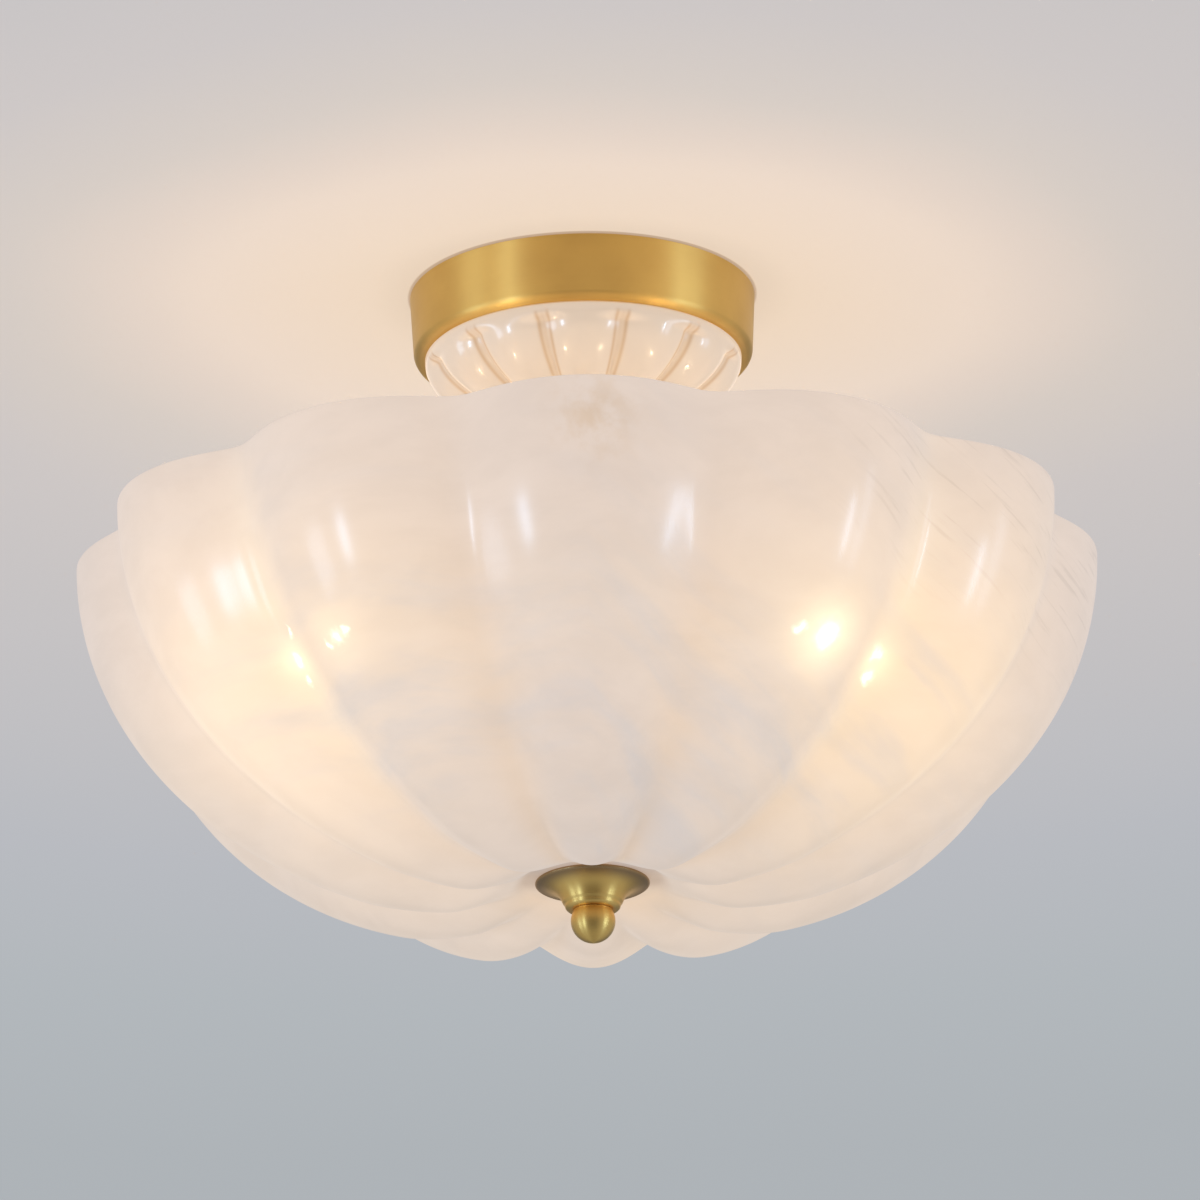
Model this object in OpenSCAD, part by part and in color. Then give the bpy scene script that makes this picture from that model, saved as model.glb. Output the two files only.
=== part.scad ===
// Semi-flush ceiling light: brass canopy, fluted neck dish, lobed glass bowl, three lamps and a finial.
// Millimetres. The ceiling is the plane z = 0, the light hangs below it, and its front faces -Y.

/* [Overall] */
// Ceiling to the tip of the finial
overall_h = 276; // [272:1:300]
// Ceiling to the point where the lamps' axes cross
hub_drop = 144; // [140:1:150]
// How far each lamp points below level, in degrees
lamp_tilt = 12; // [8:1:14]

/* [Canopy] */
// Diameter of the canopy at the ceiling
canopy_d = 140; // [130:1:160]
// Height of the canopy
canopy_h = 26.4; // [22:0.2:32]
// Sheet thickness of the canopy
canopy_wall = 1.2; // [0.8:0.1:1.6]
// Radius of the canopy's lower edge
canopy_edge_r = 3; // [2:0.5:4]
// How much smaller the canopy's radius is at its lower edge
canopy_draft = 1.2; // [0:0.2:2]

/* [Crossbar] */
// Length of the crossbar
bar_l = 112; // [108:1:118]
// Width of the crossbar
bar_w = 20; // [18:1:24]
// Thickness of the crossbar
bar_t = 2.4; // [2:0.1:3]
// Height of the tapped boss under the crossbar
bar_boss_h = 1.6; // [1:0.1:2.4]
// Distance between the two slots for the ceiling box's screws
slot_spacing = 80; // [76:1:82]
// Length of each slot, end to end
slot_l = 16; // [12:1:18]
// Width of each slot
slot_w = 4.8; // [4.4:0.1:5.4]
// Centre line to the earth screw
ground_x = 22; // [20:1:24]

/* [Stem] */
// Diameter of the threaded pipe
pipe_d = 9.6; // [9:0.1:10.4]
// Bore of the threaded pipe
pipe_bore = 6.6; // [6.4:0.1:7]
// Wall of the tube that covers the pipe
sleeve_wall = 1; // [0.8:0.1:1.4]
// Diameter of the solid rod that carries the bowl
rod_d = 6.35; // [6:0.05:7]
// Hex nuts on the pipe, across flats
pipe_nut_af = 14; // [13:0.5:16]
// Thickness of the nuts on the pipe
pipe_nut_t = 3.5; // [3:0.5:4]
// Hex nuts on the rod, across flats
rod_nut_af = 11.1; // [10:0.1:12]
// Thickness of the nuts on the rod
rod_nut_t = 5.5; // [4:0.5:5.5]
// Diameter of an insulated lead
lead_d = 2.2; // [1.8:0.1:2.4]

/* [Neck dish] */
// Flat brass left showing round the neck dish
neck_margin = 5.8; // [5:0.2:8]
// Depth of the neck dish
neck_h = 32; // [28:1:36]
// Glass thickness of the neck dish
neck_wall = 3.5; // [3:0.5:4.5]
// Plain band at the top of the neck dish
neck_band = 3; // [2:0.5:5]
// Depth of the creases between the neck dish's flutes
neck_flute = 4.4; // [3:0.2:5]
// Diameter of the flat seat under the neck dish
neck_seat_d = 36; // [34:1:40]

/* [Bowl] */
// Diameter of the bowl over its lobes
bowl_d = 411; // [400:1:440]
// Height from the bowl's seat up to its widest line
bowl_h = 134.9; // [125:0.1:145]
// How far the bowl's round profile would reach below its seat on the axis
bowl_dip = 14.9; // [10:0.1:20]
// Glass thickness of the bowl
bowl_wall = 4; // [3.5:0.5:5]
// Number of lobes on the bowl and on the neck dish
lobes = 12; // [10:1:16]
// Height of the lobes above the creases at the rim
lobe_rim = 13.8; // [8:0.2:17]
// Height of the lobes above the creases towards the centre
lobe_centre = 4; // [2:0.2:6]
// Diameter at which the bowl's profile turns back up to its seat
turn_d = 179; // [160:1:190]
// Diameter of the recess round the finial
recess_d = 56; // [52:1:64]
// Hole in the bowl for the rod
bowl_hole_d = 13; // [11:0.5:16]

/* [Lampholders] */
// Axis crossing to the base of each lampholder
holder_start = 32; // [31:0.5:34]
// Length of each lampholder
holder_l = 34; // [33:0.5:36]
// Diameter of each lampholder
holder_d = 35; // [34:0.5:38]
// Depth of each lampholder's socket
socket_l = 26; // [25:0.5:26.5]
// Sheet thickness of the screw shells and the bulbs' caps
shell_t = 0.5; // [0.3:0.1:0.7]

/* [Bulbs] */
// Diameter of each bulb
bulb_d = 60; // [50:1:62]
// Length of each bulb with its cap
bulb_l = 110; // [104:1:112]
// Diameter of the bulbs' caps
cap_d = 26.1; // [25.6:0.1:26.6]
// Glass thickness of the bulbs
bulb_wall = 0.8; // [0.6:0.1:1.2]
// Length of each filament stick
filament_l = 30; // [24:1:34]

/* [Hub] */
// Diameter of the lamp hub
hub_d = 44; // [43:0.5:46]
// Height of the hub above the lamps' axes
hub_up = 18; // [17:0.5:20]
// Height of the hub below the lamps' axes
hub_down = 16; // [16:0.5:18]
// Wall of the hub
hub_wall = 2.2; // [1.8:0.2:2.6]
// Thickness of the plate under the hub
cover_t = 2; // [1.6:0.2:3]

/* [Finial] */
// Diameter of the finial cup's rim
cup_d = 45.8; // [42:0.2:50]
// Height of the finial cup
cup_h = 11.9; // [11:0.1:12]
// Diameter of the collar at the cup's lower end
collar_d = 22.4; // [21:0.2:24]
// Diameter of the ball
ball_d = 17.8; // [16.6:0.2:20]
// Diameter of the ball's neck
ball_neck_d = 16; // [15:0.2:16]
// Cup's rim down to the ball's centre
ball_drop = 16.5; // [16:0.1:18]
// How far the rod reaches into the finial
rod_grip = 7.5; // [6:0.5:8]

/* [Washers and gaskets] */
// Diameter of the canopy's washer
washer_d = 26; // [24:1:30]
// Thickness of the canopy's washer
washer_t = 1.2; // [1:0.1:2]
// Thickness of the ring between the canopy and the neck dish
neck_gasket_t = 0.8; // [0.6:0.1:1.5]
// Diameter of the pad under the neck dish
pad_d = 28; // [26:1:32]
// Thickness of the pad under the neck dish
pad_t = 1.2; // [0.8:0.1:2]
// Diameter of the gaskets on each side of the bowl
bowl_gasket_d = 35; // [30:1:36]
// Thickness of the gaskets on each side of the bowl
bowl_gasket_t = 1.5; // [1:0.1:2.5]
// Diameter of the brass washer above the bowl
bowl_washer_d = 38; // [34:1:42]
// Thickness of the brass washer above the bowl
bowl_washer_t = 1.5; // [1:0.1:2.5]
// Height of the knurled collar under the neck dish
neck_collar_h = 6.5; // [5:0.5:9]

/* [Fits] */
// Radial gap of threads and of what they pass through closely
thread_gap = 0.05; // [0.02:0.01:0.1]
// Gap between parts that come apart
seat_gap = 0.3; // [0.2:0.05:0.4]

/* [Hidden] */
$fn = 64;
lamps = 3;
pipe_r = pipe_d / 2;
rod_r = rod_d / 2;
canopy_r = canopy_d / 2;
lead_side = lead_d / 2 + 0.4;
// Heights down the stem, from the ceiling
pipe_top_z = -seat_gap;
boss_z = -bar_t - bar_boss_h;
canopy_z = -canopy_h;
canopy_nut_z = canopy_z - washer_t;
neck_rim_z = canopy_z - neck_gasket_t;
neck_seat_z = neck_rim_z - neck_h;
cap_z = neck_seat_z - pad_t;
neck_cap_t = 2;
collar_z = cap_z - neck_cap_t;
sleeve_z = collar_z - neck_collar_h;
hub_top_z = -hub_drop + hub_up;
hub_base_z = -hub_drop - hub_down;
cover_z = hub_base_z - cover_t;
pipe_boss_h = 8;
block_r = 7.5;
ground_r = 2.35;
screw_r = 1.5;
block_h = 12;
block_top_z = -hub_drop + block_h / 2;
// Heights round the bowl's seat and the finial
ball_z = -overall_h + ball_d / 2;
cup_z = ball_z + ball_drop;
seat_z = cup_z + seat_gap;
rim_z = seat_z + bowl_h;
upper_gasket_z = seat_z + bowl_wall;
bowl_washer_z = upper_gasket_z + bowl_gasket_t;
stop_nut_z = bowl_washer_z + bowl_washer_t + seat_gap / 3;
rod_top_z = -hub_drop - block_h / 2 - seat_gap;
rod_end_z = cup_z - cup_h - rod_grip;
cup_recess = bowl_gasket_t - seat_gap + 0.1;
rod_hole_r = rod_r + seat_gap + 0.025;
// Radii of the glass
neck_r = canopy_r - neck_margin;
neck_seat_r = neck_seat_d / 2;
neck_hole_r = pipe_r + 0.7;
neck_round_h = neck_h / sqrt(1 - pow(neck_seat_r / neck_r, 2));
bowl_r = bowl_d / 2 - lobe_rim;
bowl_round_h = bowl_h + bowl_dip;
recess_r = recess_d / 2;
turn_r = turn_d / 2;
lobe_arch = 0.09;
bowl_steps = 8;
neck_steps = 6;
// Distances along a lamp's axis, from the point where the axes cross
mouth_s = holder_start + holder_l;
floor_s = mouth_s - socket_l;
arm_start_s = 14.5;
arm_end_s = holder_start + 5;
boss_end_s = hub_d / 2 + 2.5;
cap_r = cap_d / 2;
shell_r = cap_r + seat_gap;
eyelet_s = floor_s + shell_t + 2.8;
bulb_tip_s = eyelet_s + bulb_l;
bulb_centre_s = bulb_tip_s - bulb_d / 2;
holder_bore_r = shell_r + shell_t + thread_gap;

// Height of a lobe at the angle a from a crest: 0 in the crease and 1 on the crest, along a round arc
function lobe(a) =
    let (half = 180 / lobes)
    let (p = a - 2 * half * round(a / (2 * half)))
    let (sag = 1 + lobe_arch - cos(half))
    let (arc_r = (pow(sin(half), 2) + sag * sag) / (2 * sag))
    let (c = 1 + lobe_arch - arc_r)
    (c * cos(p) + sqrt(arc_r * arc_r - pow(c * sin(p), 2)) - 1) / lobe_arch;

// 0 below 0, 1 above 1, and a smooth step between them
function ease(x) =
    let (t = min(max(x, 0), 1))
    t * t * (3 - 2 * t);

// Point at the share t of a curve with the end points a and d and the control points b and c
function curve_point(a, b, c, d, t) =
    pow(1 - t, 3) * a + 3 * pow(1 - t, 2) * t * b + 3 * (1 - t) * t * t * c + pow(t, 3) * d;

// Unit vector square to the profile at its point i, on its outer side
function outward(line, i) =
    let (d = line[min(i + 1, len(line) - 1)] - line[max(i - 1, 0)])
    [-d[1], d[0]] / norm(d);

// One ring of glass: the profile point p moved along n by low in the creases and by high on the crests
function glass_ring(p, n, low, high, steps) = [
    for (k = [0 : lobes * steps - 1])
        let (a = k * 360 / (lobes * steps))
        let (q = p + n * (low + (high - low) * lobe(a)))
        [q[0] * sin(a), -q[0] * cos(a), q[1]]
];

// Closed skin over a loop of rings, the last joined to the first
module ring_skin(rings) {
    m = len(rings);
    k = len(rings[0]);
    faces = [
        for (j = [0 : m - 1], i = [0 : k - 1])
            let (a = j * k + i, b = j * k + (i + 1) % k)
            let (c = (j + 1) % m * k + i, d = (j + 1) % m * k + (i + 1) % k)
            each [[a, d, b], [a, c, d]]
    ];
    polyhedron([for (ring = rings) each ring], faces);
}

// Ring or washer between two radii, from z up by t
module ring(inner_r, outer_r, z, t) {
    translate([0, 0, z])
        difference() {
            cylinder(r = outer_r, h = t);
            translate([0, 0, -1])
                cylinder(r = inner_r, h = t + 2);
        }
}

// Hex nut with its lower face at z
module hex_nut(across, t, bore_r, z) {
    translate([0, 0, z])
        difference() {
            intersection() {
                cylinder(r = across / sqrt(3), h = t, $fn = 6);
                cylinder(r1 = across / 2 + t, r2 = across / 2 + 0.4, h = t);
            }
            translate([0, 0, -1])
                cylinder(r = bore_r, h = t + 2);
        }
}

// Rounded slot through the crossbar, centred at x
module slot(x) {
    run = slot_l - slot_w;
    translate([x - run / 2, -slot_w / 2])
        square([run, slot_w]);
    for (side = [-1, 1])
        translate([x + side * run / 2, 0])
            circle(d = slot_w);
}

// Places its children on lamp i's axis, with their +Z outwards along it
module on_lamp(i) {
    translate([0, 0, -hub_drop])
        rotate([0, 90 + lamp_tilt, 90 + 360 / lamps * i])
            children();
}

// Runs of the leads on one side: up the pipe, and out along every arm
module lead_runs(side, grow) {
    translate([side * lead_side, 0, block_top_z - 3])
        cylinder(d = lead_d + 2 * grow, h = pipe_top_z - block_top_z + 3);
    for (i = [0 : lamps - 1])
        on_lamp(i)
            translate([0, side * lead_side, 4.5])
                cylinder(d = lead_d + 2 * grow, h = floor_s - 4.5 - seat_gap);
}

module crossbar() {
    color("silver")
        difference() {
            union() {
                translate([0, 0, -bar_t])
                    linear_extrude(bar_t)
                        difference() {
                            union() {
                                square([bar_l - bar_w, bar_w], center = true);
                                for (side = [-1, 1])
                                    translate([side * (bar_l - bar_w) / 2, 0])
                                        circle(d = bar_w);
                            }
                            slot(-slot_spacing / 2);
                            slot(slot_spacing / 2);
                        }
                translate([0, 0, boss_z])
                    cylinder(r = pipe_r + 2.4, h = bar_boss_h + bar_t / 2);
            }
            translate([0, 0, boss_z - 1])
                cylinder(r = pipe_r + thread_gap, h = -boss_z + 2);
            translate([ground_x, 0, -bar_t - 1])
                cylinder(r = ground_r + thread_gap, h = bar_t + 2);
        }
}

module ground_screw() {
    head_af = 8;
    head_h = 3.2;
    color("green")
        translate([ground_x, 0, -bar_t])
            difference() {
                union() {
                    translate([0, 0, -0.8])
                        cylinder(r = 5, h = 0.8);
                    translate([0, 0, -0.8 - head_h])
                        cylinder(r = head_af / sqrt(3), h = head_h, $fn = 6);
                    cylinder(r = ground_r, h = bar_t - 0.1);
                }
                translate([-5, -0.6, -1.8 - head_h])
                    cube([10, 1.2, 2.4]);
            }
}

module stem_pipe() {
    color("silver")
        ring(pipe_bore / 2, pipe_r, hub_top_z - pipe_boss_h, pipe_top_z - hub_top_z + pipe_boss_h);
}

module pipe_nuts() {
    color("silver")
        for (z = [boss_z - pipe_nut_t, canopy_nut_z - pipe_nut_t])
            hex_nut(pipe_nut_af, pipe_nut_t, pipe_r + thread_gap, z);
}

module canopy() {
    low_r = canopy_r - canopy_draft - canopy_edge_r;
    inner_edge_r = canopy_edge_r - canopy_wall;
    corner = [low_r, canopy_z + canopy_edge_r];
    color("goldenrod")
        rotate_extrude($fn = 128)
            polygon(concat(
                [[canopy_r, 0]],
                [for (a = [0 : 15 : 90]) corner + canopy_edge_r * [cos(a), -sin(a)]],
                [[pipe_r + seat_gap, canopy_z], [pipe_r + seat_gap, canopy_z + canopy_wall]],
                [for (a = [90 : -15 : 0]) corner + inner_edge_r * [cos(a), -sin(a)]],
                [[canopy_r - canopy_wall, 0]]
            ));
}

module canopy_washer() {
    color("silver")
        ring(pipe_r + seat_gap, washer_d / 2, canopy_nut_z, washer_t);
}

module neck_gasket() {
    color("whitesmoke")
        ring(neck_r - neck_wall - 0.8, neck_r - 0.8, neck_rim_z, neck_gasket_t);
}

// Outer profile of the neck dish from its rim down to its seat, along the crests
function neck_line() =
    let (n = 11, end = acos(neck_seat_r / neck_r))
    [for (i = [0 : n]) [neck_r * cos(end * i / n), neck_rim_z - neck_round_h * sin(end * i / n)]];

// Depth of the creases at a profile point of the neck dish
function neck_crease(p) =
    neck_flute * ease((neck_rim_z - p[1] - neck_band) / 4) * ease((p[0] - neck_seat_r) / 20);

module neck_dish() {
    line = neck_line();
    last = len(line) - 1;
    hole_r = pipe_r / 2;
    outer = [
        for (i = [0 : last])
            glass_ring(line[i], outward(line, i), -neck_crease(line[i]), 0, neck_steps)
    ];
    inner = [
        for (i = [last : -1 : 0])
            let (n = i == last ? [0, -1] : i == 0 ? [1, 0] : outward(line, i))
            let (p = line[i] - neck_wall * n)
            glass_ring(p, n, -neck_crease(line[i]), 0, neck_steps)
    ];
    hole = [
        for (z = [neck_seat_z, neck_seat_z + neck_wall])
            glass_ring([hole_r, z], [0, -1], 0, 0, neck_steps)
    ];
    color("mistyrose")
        difference() {
            ring_skin(concat(outer, hole, inner));
            translate([0, 0, neck_seat_z - 1])
                cylinder(r = neck_hole_r, h = neck_wall + 2);
        }
}

module neck_pad() {
    color("whitesmoke")
        ring(neck_hole_r, pad_d / 2, cap_z, pad_t);
}

module neck_cap() {
    rim_r = neck_seat_r - 1;
    color("goldenrod")
        rotate_extrude()
            polygon([
                [pipe_r + seat_gap, cap_z], [rim_r - 1, cap_z], [rim_r, cap_z - 0.6],
                [rim_r - 0.6, cap_z - 1.1], [rim_r - 6, collar_z], [pipe_r + seat_gap, collar_z]
            ]);
}

module neck_collar() {
    teeth = 24;
    color("goldenrod")
        translate([0, 0, sleeve_z])
            difference() {
                linear_extrude(neck_collar_h)
                    polygon([
                        for (i = [0 : 2 * teeth - 1])
                            let (r = i % 2 == 0 ? 9 : 8.4)
                            r * [cos(i * 180 / teeth), sin(i * 180 / teeth)]
                    ]);
                translate([0, 0, -1])
                    cylinder(r = pipe_r + thread_gap, h = neck_collar_h + 2);
            }
}

module stem_sleeve() {
    inner_r = pipe_r + 0.5;
    color("goldenrod")
        ring(inner_r, inner_r + sleeve_wall, hub_top_z, sleeve_z - hub_top_z);
}

// Solid outer form of the hub, drawn in by the amount inset
module hub_form(inset) {
    shoulder = 9;
    crown_r = hub_d / 2 - shoulder;
    base_z = hub_base_z - (inset > 0 ? 1 : 0);
    rotate_extrude()
        polygon(concat(
            [[0, base_z], [hub_d / 2 - inset, base_z]],
            [
                for (a = [0 : 15 : 90])
                    [crown_r, hub_top_z - shoulder] + (shoulder - inset) * [cos(a), sin(a)]
            ],
            [[0, hub_top_z - inset]]
        ));
}

// Places its children at the hub's screws, between the arms
module at_hub_screws() {
    for (i = [0 : lamps - 1])
        rotate([0, 0, -90 + 360 / lamps * i])
            translate([hub_d / 2 - 5.5, 0, hub_base_z])
                children();
}

module hub_body() {
    color("goldenrod")
        difference() {
            union() {
                difference() {
                    union() {
                        hub_form(0);
                        for (i = [0 : lamps - 1])
                            on_lamp(i)
                                translate([0, 0, boss_end_s - 8])
                                    cylinder(r = 8.5, h = 8);
                    }
                    hub_form(hub_wall);
                }
                translate([0, 0, hub_top_z - pipe_boss_h])
                    cylinder(r = pipe_r + 2.6, h = pipe_boss_h - 1);
                at_hub_screws()
                    cylinder(r = 3.8, h = 10);
            }
            translate([0, 0, hub_top_z - pipe_boss_h - 1])
                cylinder(r = pipe_r + thread_gap, h = pipe_boss_h + 2);
            for (i = [0 : lamps - 1])
                on_lamp(i)
                    translate([0, 0, arm_start_s])
                        cylinder(r = pipe_r + thread_gap, h = 16);
            at_hub_screws()
                translate([0, 0, -1])
                    cylinder(r = screw_r + thread_gap, h = 10);
        }
}

module hub_cover() {
    color("goldenrod")
        difference() {
            translate([0, 0, cover_z])
                cylinder(r = hub_d / 2, h = cover_t);
            translate([0, 0, cover_z - 1])
                cylinder(r = rod_r + thread_gap, h = cover_t + 2);
            at_hub_screws()
                translate([0, 0, -cover_t - 1])
                    cylinder(r = screw_r + 0.2, h = cover_t + 2);
        }
}

module hub_screws() {
    color("silver")
        at_hub_screws()
            difference() {
                union() {
                    translate([0, 0, -cover_t - 1.7])
                        cylinder(r1 = 2.2, r2 = 2.8, h = 1.7);
                    translate([0, 0, -cover_t])
                        cylinder(r = screw_r, h = cover_t + 8);
                }
                translate([-3, -0.4, -cover_t - 2.7])
                    cube([6, 0.8, 1.9]);
            }
}

module terminal_block() {
    color("ivory")
        difference() {
            translate([0, 0, block_top_z - block_h])
                cylinder(r = block_r, h = block_h);
            for (side = [-1, 1])
                lead_runs(side, thread_gap);
        }
}

module live_leads() {
    color("black")
        lead_runs(-1, 0);
}

module neutral_leads() {
    color("white")
        lead_runs(1, 0);
}

module arm(i) {
    color("silver")
        on_lamp(i)
            ring(pipe_bore / 2, pipe_r, arm_start_s, arm_end_s - arm_start_s);
}

module arm_nuts() {
    color("silver")
        for (i = [0 : lamps - 1])
            on_lamp(i)
                hex_nut(pipe_nut_af, pipe_nut_t, pipe_r + thread_gap, boss_end_s);
}

// Porcelain body: a stepped base, a flare, a plain barrel and a bead round the mouth
module lampholder(i) {
    r = holder_d / 2;
    color("white")
        on_lamp(i)
            rotate_extrude()
                polygon([
                    [pipe_r + thread_gap, holder_start], [9.6, holder_start],
                    [10.6, holder_start + 1], [11, holder_start + 3.5],
                    [14.5, holder_start + 5.5], [r - 0.8, holder_start + 9],
                    [r, holder_start + 12], [r, mouth_s - 6], [r + 1.2, mouth_s - 5],
                    [r + 1.6, mouth_s - 3], [r + 1.2, mouth_s - 1], [r, mouth_s],
                    [holder_bore_r, mouth_s], [holder_bore_r, floor_s],
                    [pipe_bore / 2, floor_s], [pipe_bore / 2, arm_end_s],
                    [pipe_r + thread_gap, arm_end_s]
                ]);
}

module screw_shell(i) {
    color("gold")
        on_lamp(i) {
            ring(shell_r, shell_r + shell_t, floor_s, socket_l - 1.5);
            ring(7, shell_r + shell_t / 2, floor_s, shell_t);
        }
}

// Leaf of sheet brass: a foot on the socket's floor and a tongue bent up to the bulb
module centre_contact(i) {
    rise = eyelet_s - floor_s - seat_gap;
    t = 0.4;
    color("gold")
        on_lamp(i)
            translate([0, 2.5, floor_s])
                rotate([90, 0, 0])
                    linear_extrude(5)
                        polygon([
                            [-5, 0], [-1.5, 0], [1, rise - t], [4, rise - t],
                            [4, rise], [0.7, rise], [-1.8, t], [-5, t]
                        ]);
}

// Profile of a bulb from its neck to its tip, drawn in by the amount inset
function bulb_line(inset) =
    let (r = bulb_d / 2 - inset, c = bulb_centre_s, neck = cap_r - shell_t - thread_gap - inset)
    let (join = r * [cos(-38), sin(-38)] + [0, c])
    let (a = [neck, mouth_s - 4], b = [neck, mouth_s + 14])
    concat(
        [for (t = [0 : 0.125 : 1]) curve_point(a, b, join - 16 * [sin(38), cos(38)], join, t)],
        [for (a = [-28.4 : 9.6 : 86.8]) [r * cos(a), c + r * sin(a)]],
        [[0, c + r]]
    );

module bulb_glass(i) {
    outer = bulb_line(0);
    inner = bulb_line(bulb_wall);
    color("aliceblue")
        on_lamp(i)
            rotate_extrude()
                polygon(concat(outer, [for (k = [len(inner) - 1 : -1 : 0]) inner[k]]));
}

// Mount inside a bulb: a glass disc in the neck, a stem, and wires to the filament sticks
module bulb_stem(i) {
    foot_s = mouth_s - 3;
    top_s = bulb_centre_s - filament_l / 2 - 4;
    disc_r = cap_r - shell_t - bulb_wall - 0.1;
    color("aliceblue")
        on_lamp(i) {
            rotate_extrude()
                polygon([
                    [0, foot_s], [disc_r - 0.2, foot_s], [disc_r - 0.2, foot_s + 1.2],
                    [4.5, foot_s + 3], [3.2, foot_s + 8], [2.6, top_s - 3], [3, top_s - 1], [2, top_s],
                    [0, top_s]
                ]);
            for (a = [45 : 90 : 315])
                rotate([0, 0, a])
                    translate([0, 0, top_s - 1])
                        rotate([0, 60, 0])
                            cylinder(r = 0.35, h = 8.4);
        }
}

module led_filaments(i) {
    color("khaki")
        on_lamp(i)
            for (a = [45 : 90 : 315])
                rotate([0, 0, a])
                    translate([7.8, 0, bulb_centre_s - filament_l / 2])
                        rotate([0, -5, 0])
                            cylinder(r = 0.9, h = filament_l);
}

module bulb_cap(i) {
    color("silver")
        on_lamp(i)
            rotate_extrude()
                polygon([
                    [cap_r - 2, eyelet_s + 3], [cap_r, eyelet_s + 5.5], [cap_r, mouth_s],
                    [cap_r - shell_t, mouth_s], [cap_r - shell_t, eyelet_s + 6],
                    [cap_r - 2.6, eyelet_s + 3.4]
                ]);
}

module bulb_insulator(i) {
    color("dimgray")
        on_lamp(i)
            rotate_extrude()
                polygon([
                    [4.2, eyelet_s + 0.6], [6, eyelet_s + 0.8], [cap_r - 2.1, eyelet_s + 2.7],
                    [cap_r - 2.7, eyelet_s + 3.3], [cap_r - 3.4, eyelet_s + 4], [4.2, eyelet_s + 4]
                ]);
}

module bulb_eyelet(i) {
    color("silver")
        on_lamp(i)
            translate([0, 0, eyelet_s]) {
                cylinder(r1 = 3.6, r2 = 4.8, h = 0.6);
                cylinder(r = 4.1, h = 3);
            }
}

module centre_rod() {
    color("silver")
        translate([0, 0, rod_end_z])
            cylinder(r = rod_r, h = rod_top_z - rod_end_z);
}

module rod_nuts() {
    color("silver")
        for (z = [hub_base_z, cover_z - rod_nut_t, stop_nut_z])
            hex_nut(rod_nut_af, rod_nut_t, rod_r + thread_gap, z);
}

module bowl_washer() {
    color("goldenrod")
        ring(rod_hole_r, bowl_washer_d / 2, bowl_washer_z, bowl_washer_t);
}

module upper_gasket() {
    color("whitesmoke")
        ring(rod_hole_r, bowl_gasket_d / 2, upper_gasket_z, bowl_gasket_t);
}

// Outer profile of the bowl along the creases: a round side, then a turn up to the flat seat
function bowl_line() =
    let (end = acos(turn_r / bowl_r), n = 14, m = 9)
    let (arc = [for (i = [0 : n]) end * i / n])
    let (side = [for (t = arc) [bowl_r * cos(t), rim_z - bowl_round_h * sin(t)]])
    let (a = side[n], along = (side[n] - side[n - 1]) / norm(side[n] - side[n - 1]))
    let (d = [recess_r, seat_z])
    concat(side, [for (i = [1 : m]) curve_point(a, a + 15 * along, d + [11, -9.6], d, i / m)]);

// Height of the lobes above the creases at a profile point of the bowl
function lobe_height(p) =
    (lobe_centre + (lobe_rim - lobe_centre) * p[0] / bowl_r) * ease((p[0] - recess_r) / 30);

module bowl() {
    line = bowl_line();
    last = len(line) - 1;
    lip = bowl_wall / 2;
    hole_r = bowl_hole_d / 2 - 3;
    outer = [
        for (i = [0 : last])
            glass_ring(line[i], outward(line, i), 0, lobe_height(line[i]), bowl_steps)
    ];
    inner = [
        for (i = [last : -1 : 0])
            let (n = i == last ? [0, -1] : i == 0 ? [1, 0] : outward(line, i))
            glass_ring(line[i] - bowl_wall * n, n, 0, lobe_height(line[i]), bowl_steps)
    ];
    hole = [
        for (z = [seat_z, upper_gasket_z])
            glass_ring([hole_r, z], [0, -1], 0, 0, bowl_steps)
    ];
    rim = [
        for (a = [135 : -45 : 45])
            let (p = [bowl_r - lip + lip * cos(a), rim_z + lip * sin(a)])
            glass_ring(p, [1, 0], 0, lobe_rim, bowl_steps)
    ];
    color("linen")
        difference() {
            ring_skin(concat(outer, hole, inner, rim));
            translate([0, 0, seat_z - 1])
                cylinder(d = bowl_hole_d, h = bowl_wall + 2);
        }
}

module lower_gasket() {
    color("whitesmoke")
        ring(rod_hole_r, bowl_gasket_d / 2, seat_z - bowl_gasket_t, bowl_gasket_t);
}

// Trumpet-shaped cup: a thin rim, a hollow flare and a rounded collar
module finial_cup() {
    r = cup_d / 2;
    c = collar_d / 2;
    low = cup_z - cup_h;
    recess = bowl_gasket_d / 2 + 3 * seat_gap;
    flare_top = [r - 0.6, cup_z - 1.5];
    flare_end = [c + 0.8, low + 3.2];
    color("darkgoldenrod")
        rotate_extrude()
            polygon(concat(
                [[rod_hole_r, cup_z - cup_recess], [recess, cup_z - cup_recess], [recess + 1.6, cup_z]],
                [[r - 0.4, cup_z], [r, cup_z - 0.4], [r, cup_z - 1]],
                [
                    for (t = [0 : 0.125 : 1])
                        curve_point(flare_top, [c + 4.6, cup_z - 2.4], [c + 2.2, cup_z - 5], flare_end, t)
                ],
                [[c, low + 2.2], [c - 0.2, low + 1.1], [c - 0.9, low + 0.4], [c - 2, low], [rod_hole_r, low]]
            ));
}

// Ball knob with a short neck against the cup and a blind tapped hole for the rod
module finial() {
    neck_z = cup_z - cup_h - 0.1;
    color("darkgoldenrod")
        difference() {
            union() {
                translate([0, 0, ball_z])
                    sphere(d = ball_d, $fn = 96);
                translate([0, 0, ball_z + 3])
                    cylinder(d = ball_neck_d, h = neck_z - ball_z - 3);
            }
            translate([0, 0, neck_z])
                cylinder(d = ball_d, h = ball_d);
            translate([0, 0, rod_end_z - 1])
                cylinder(r = rod_r + thread_gap, h = ball_d);
        }
}

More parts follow.
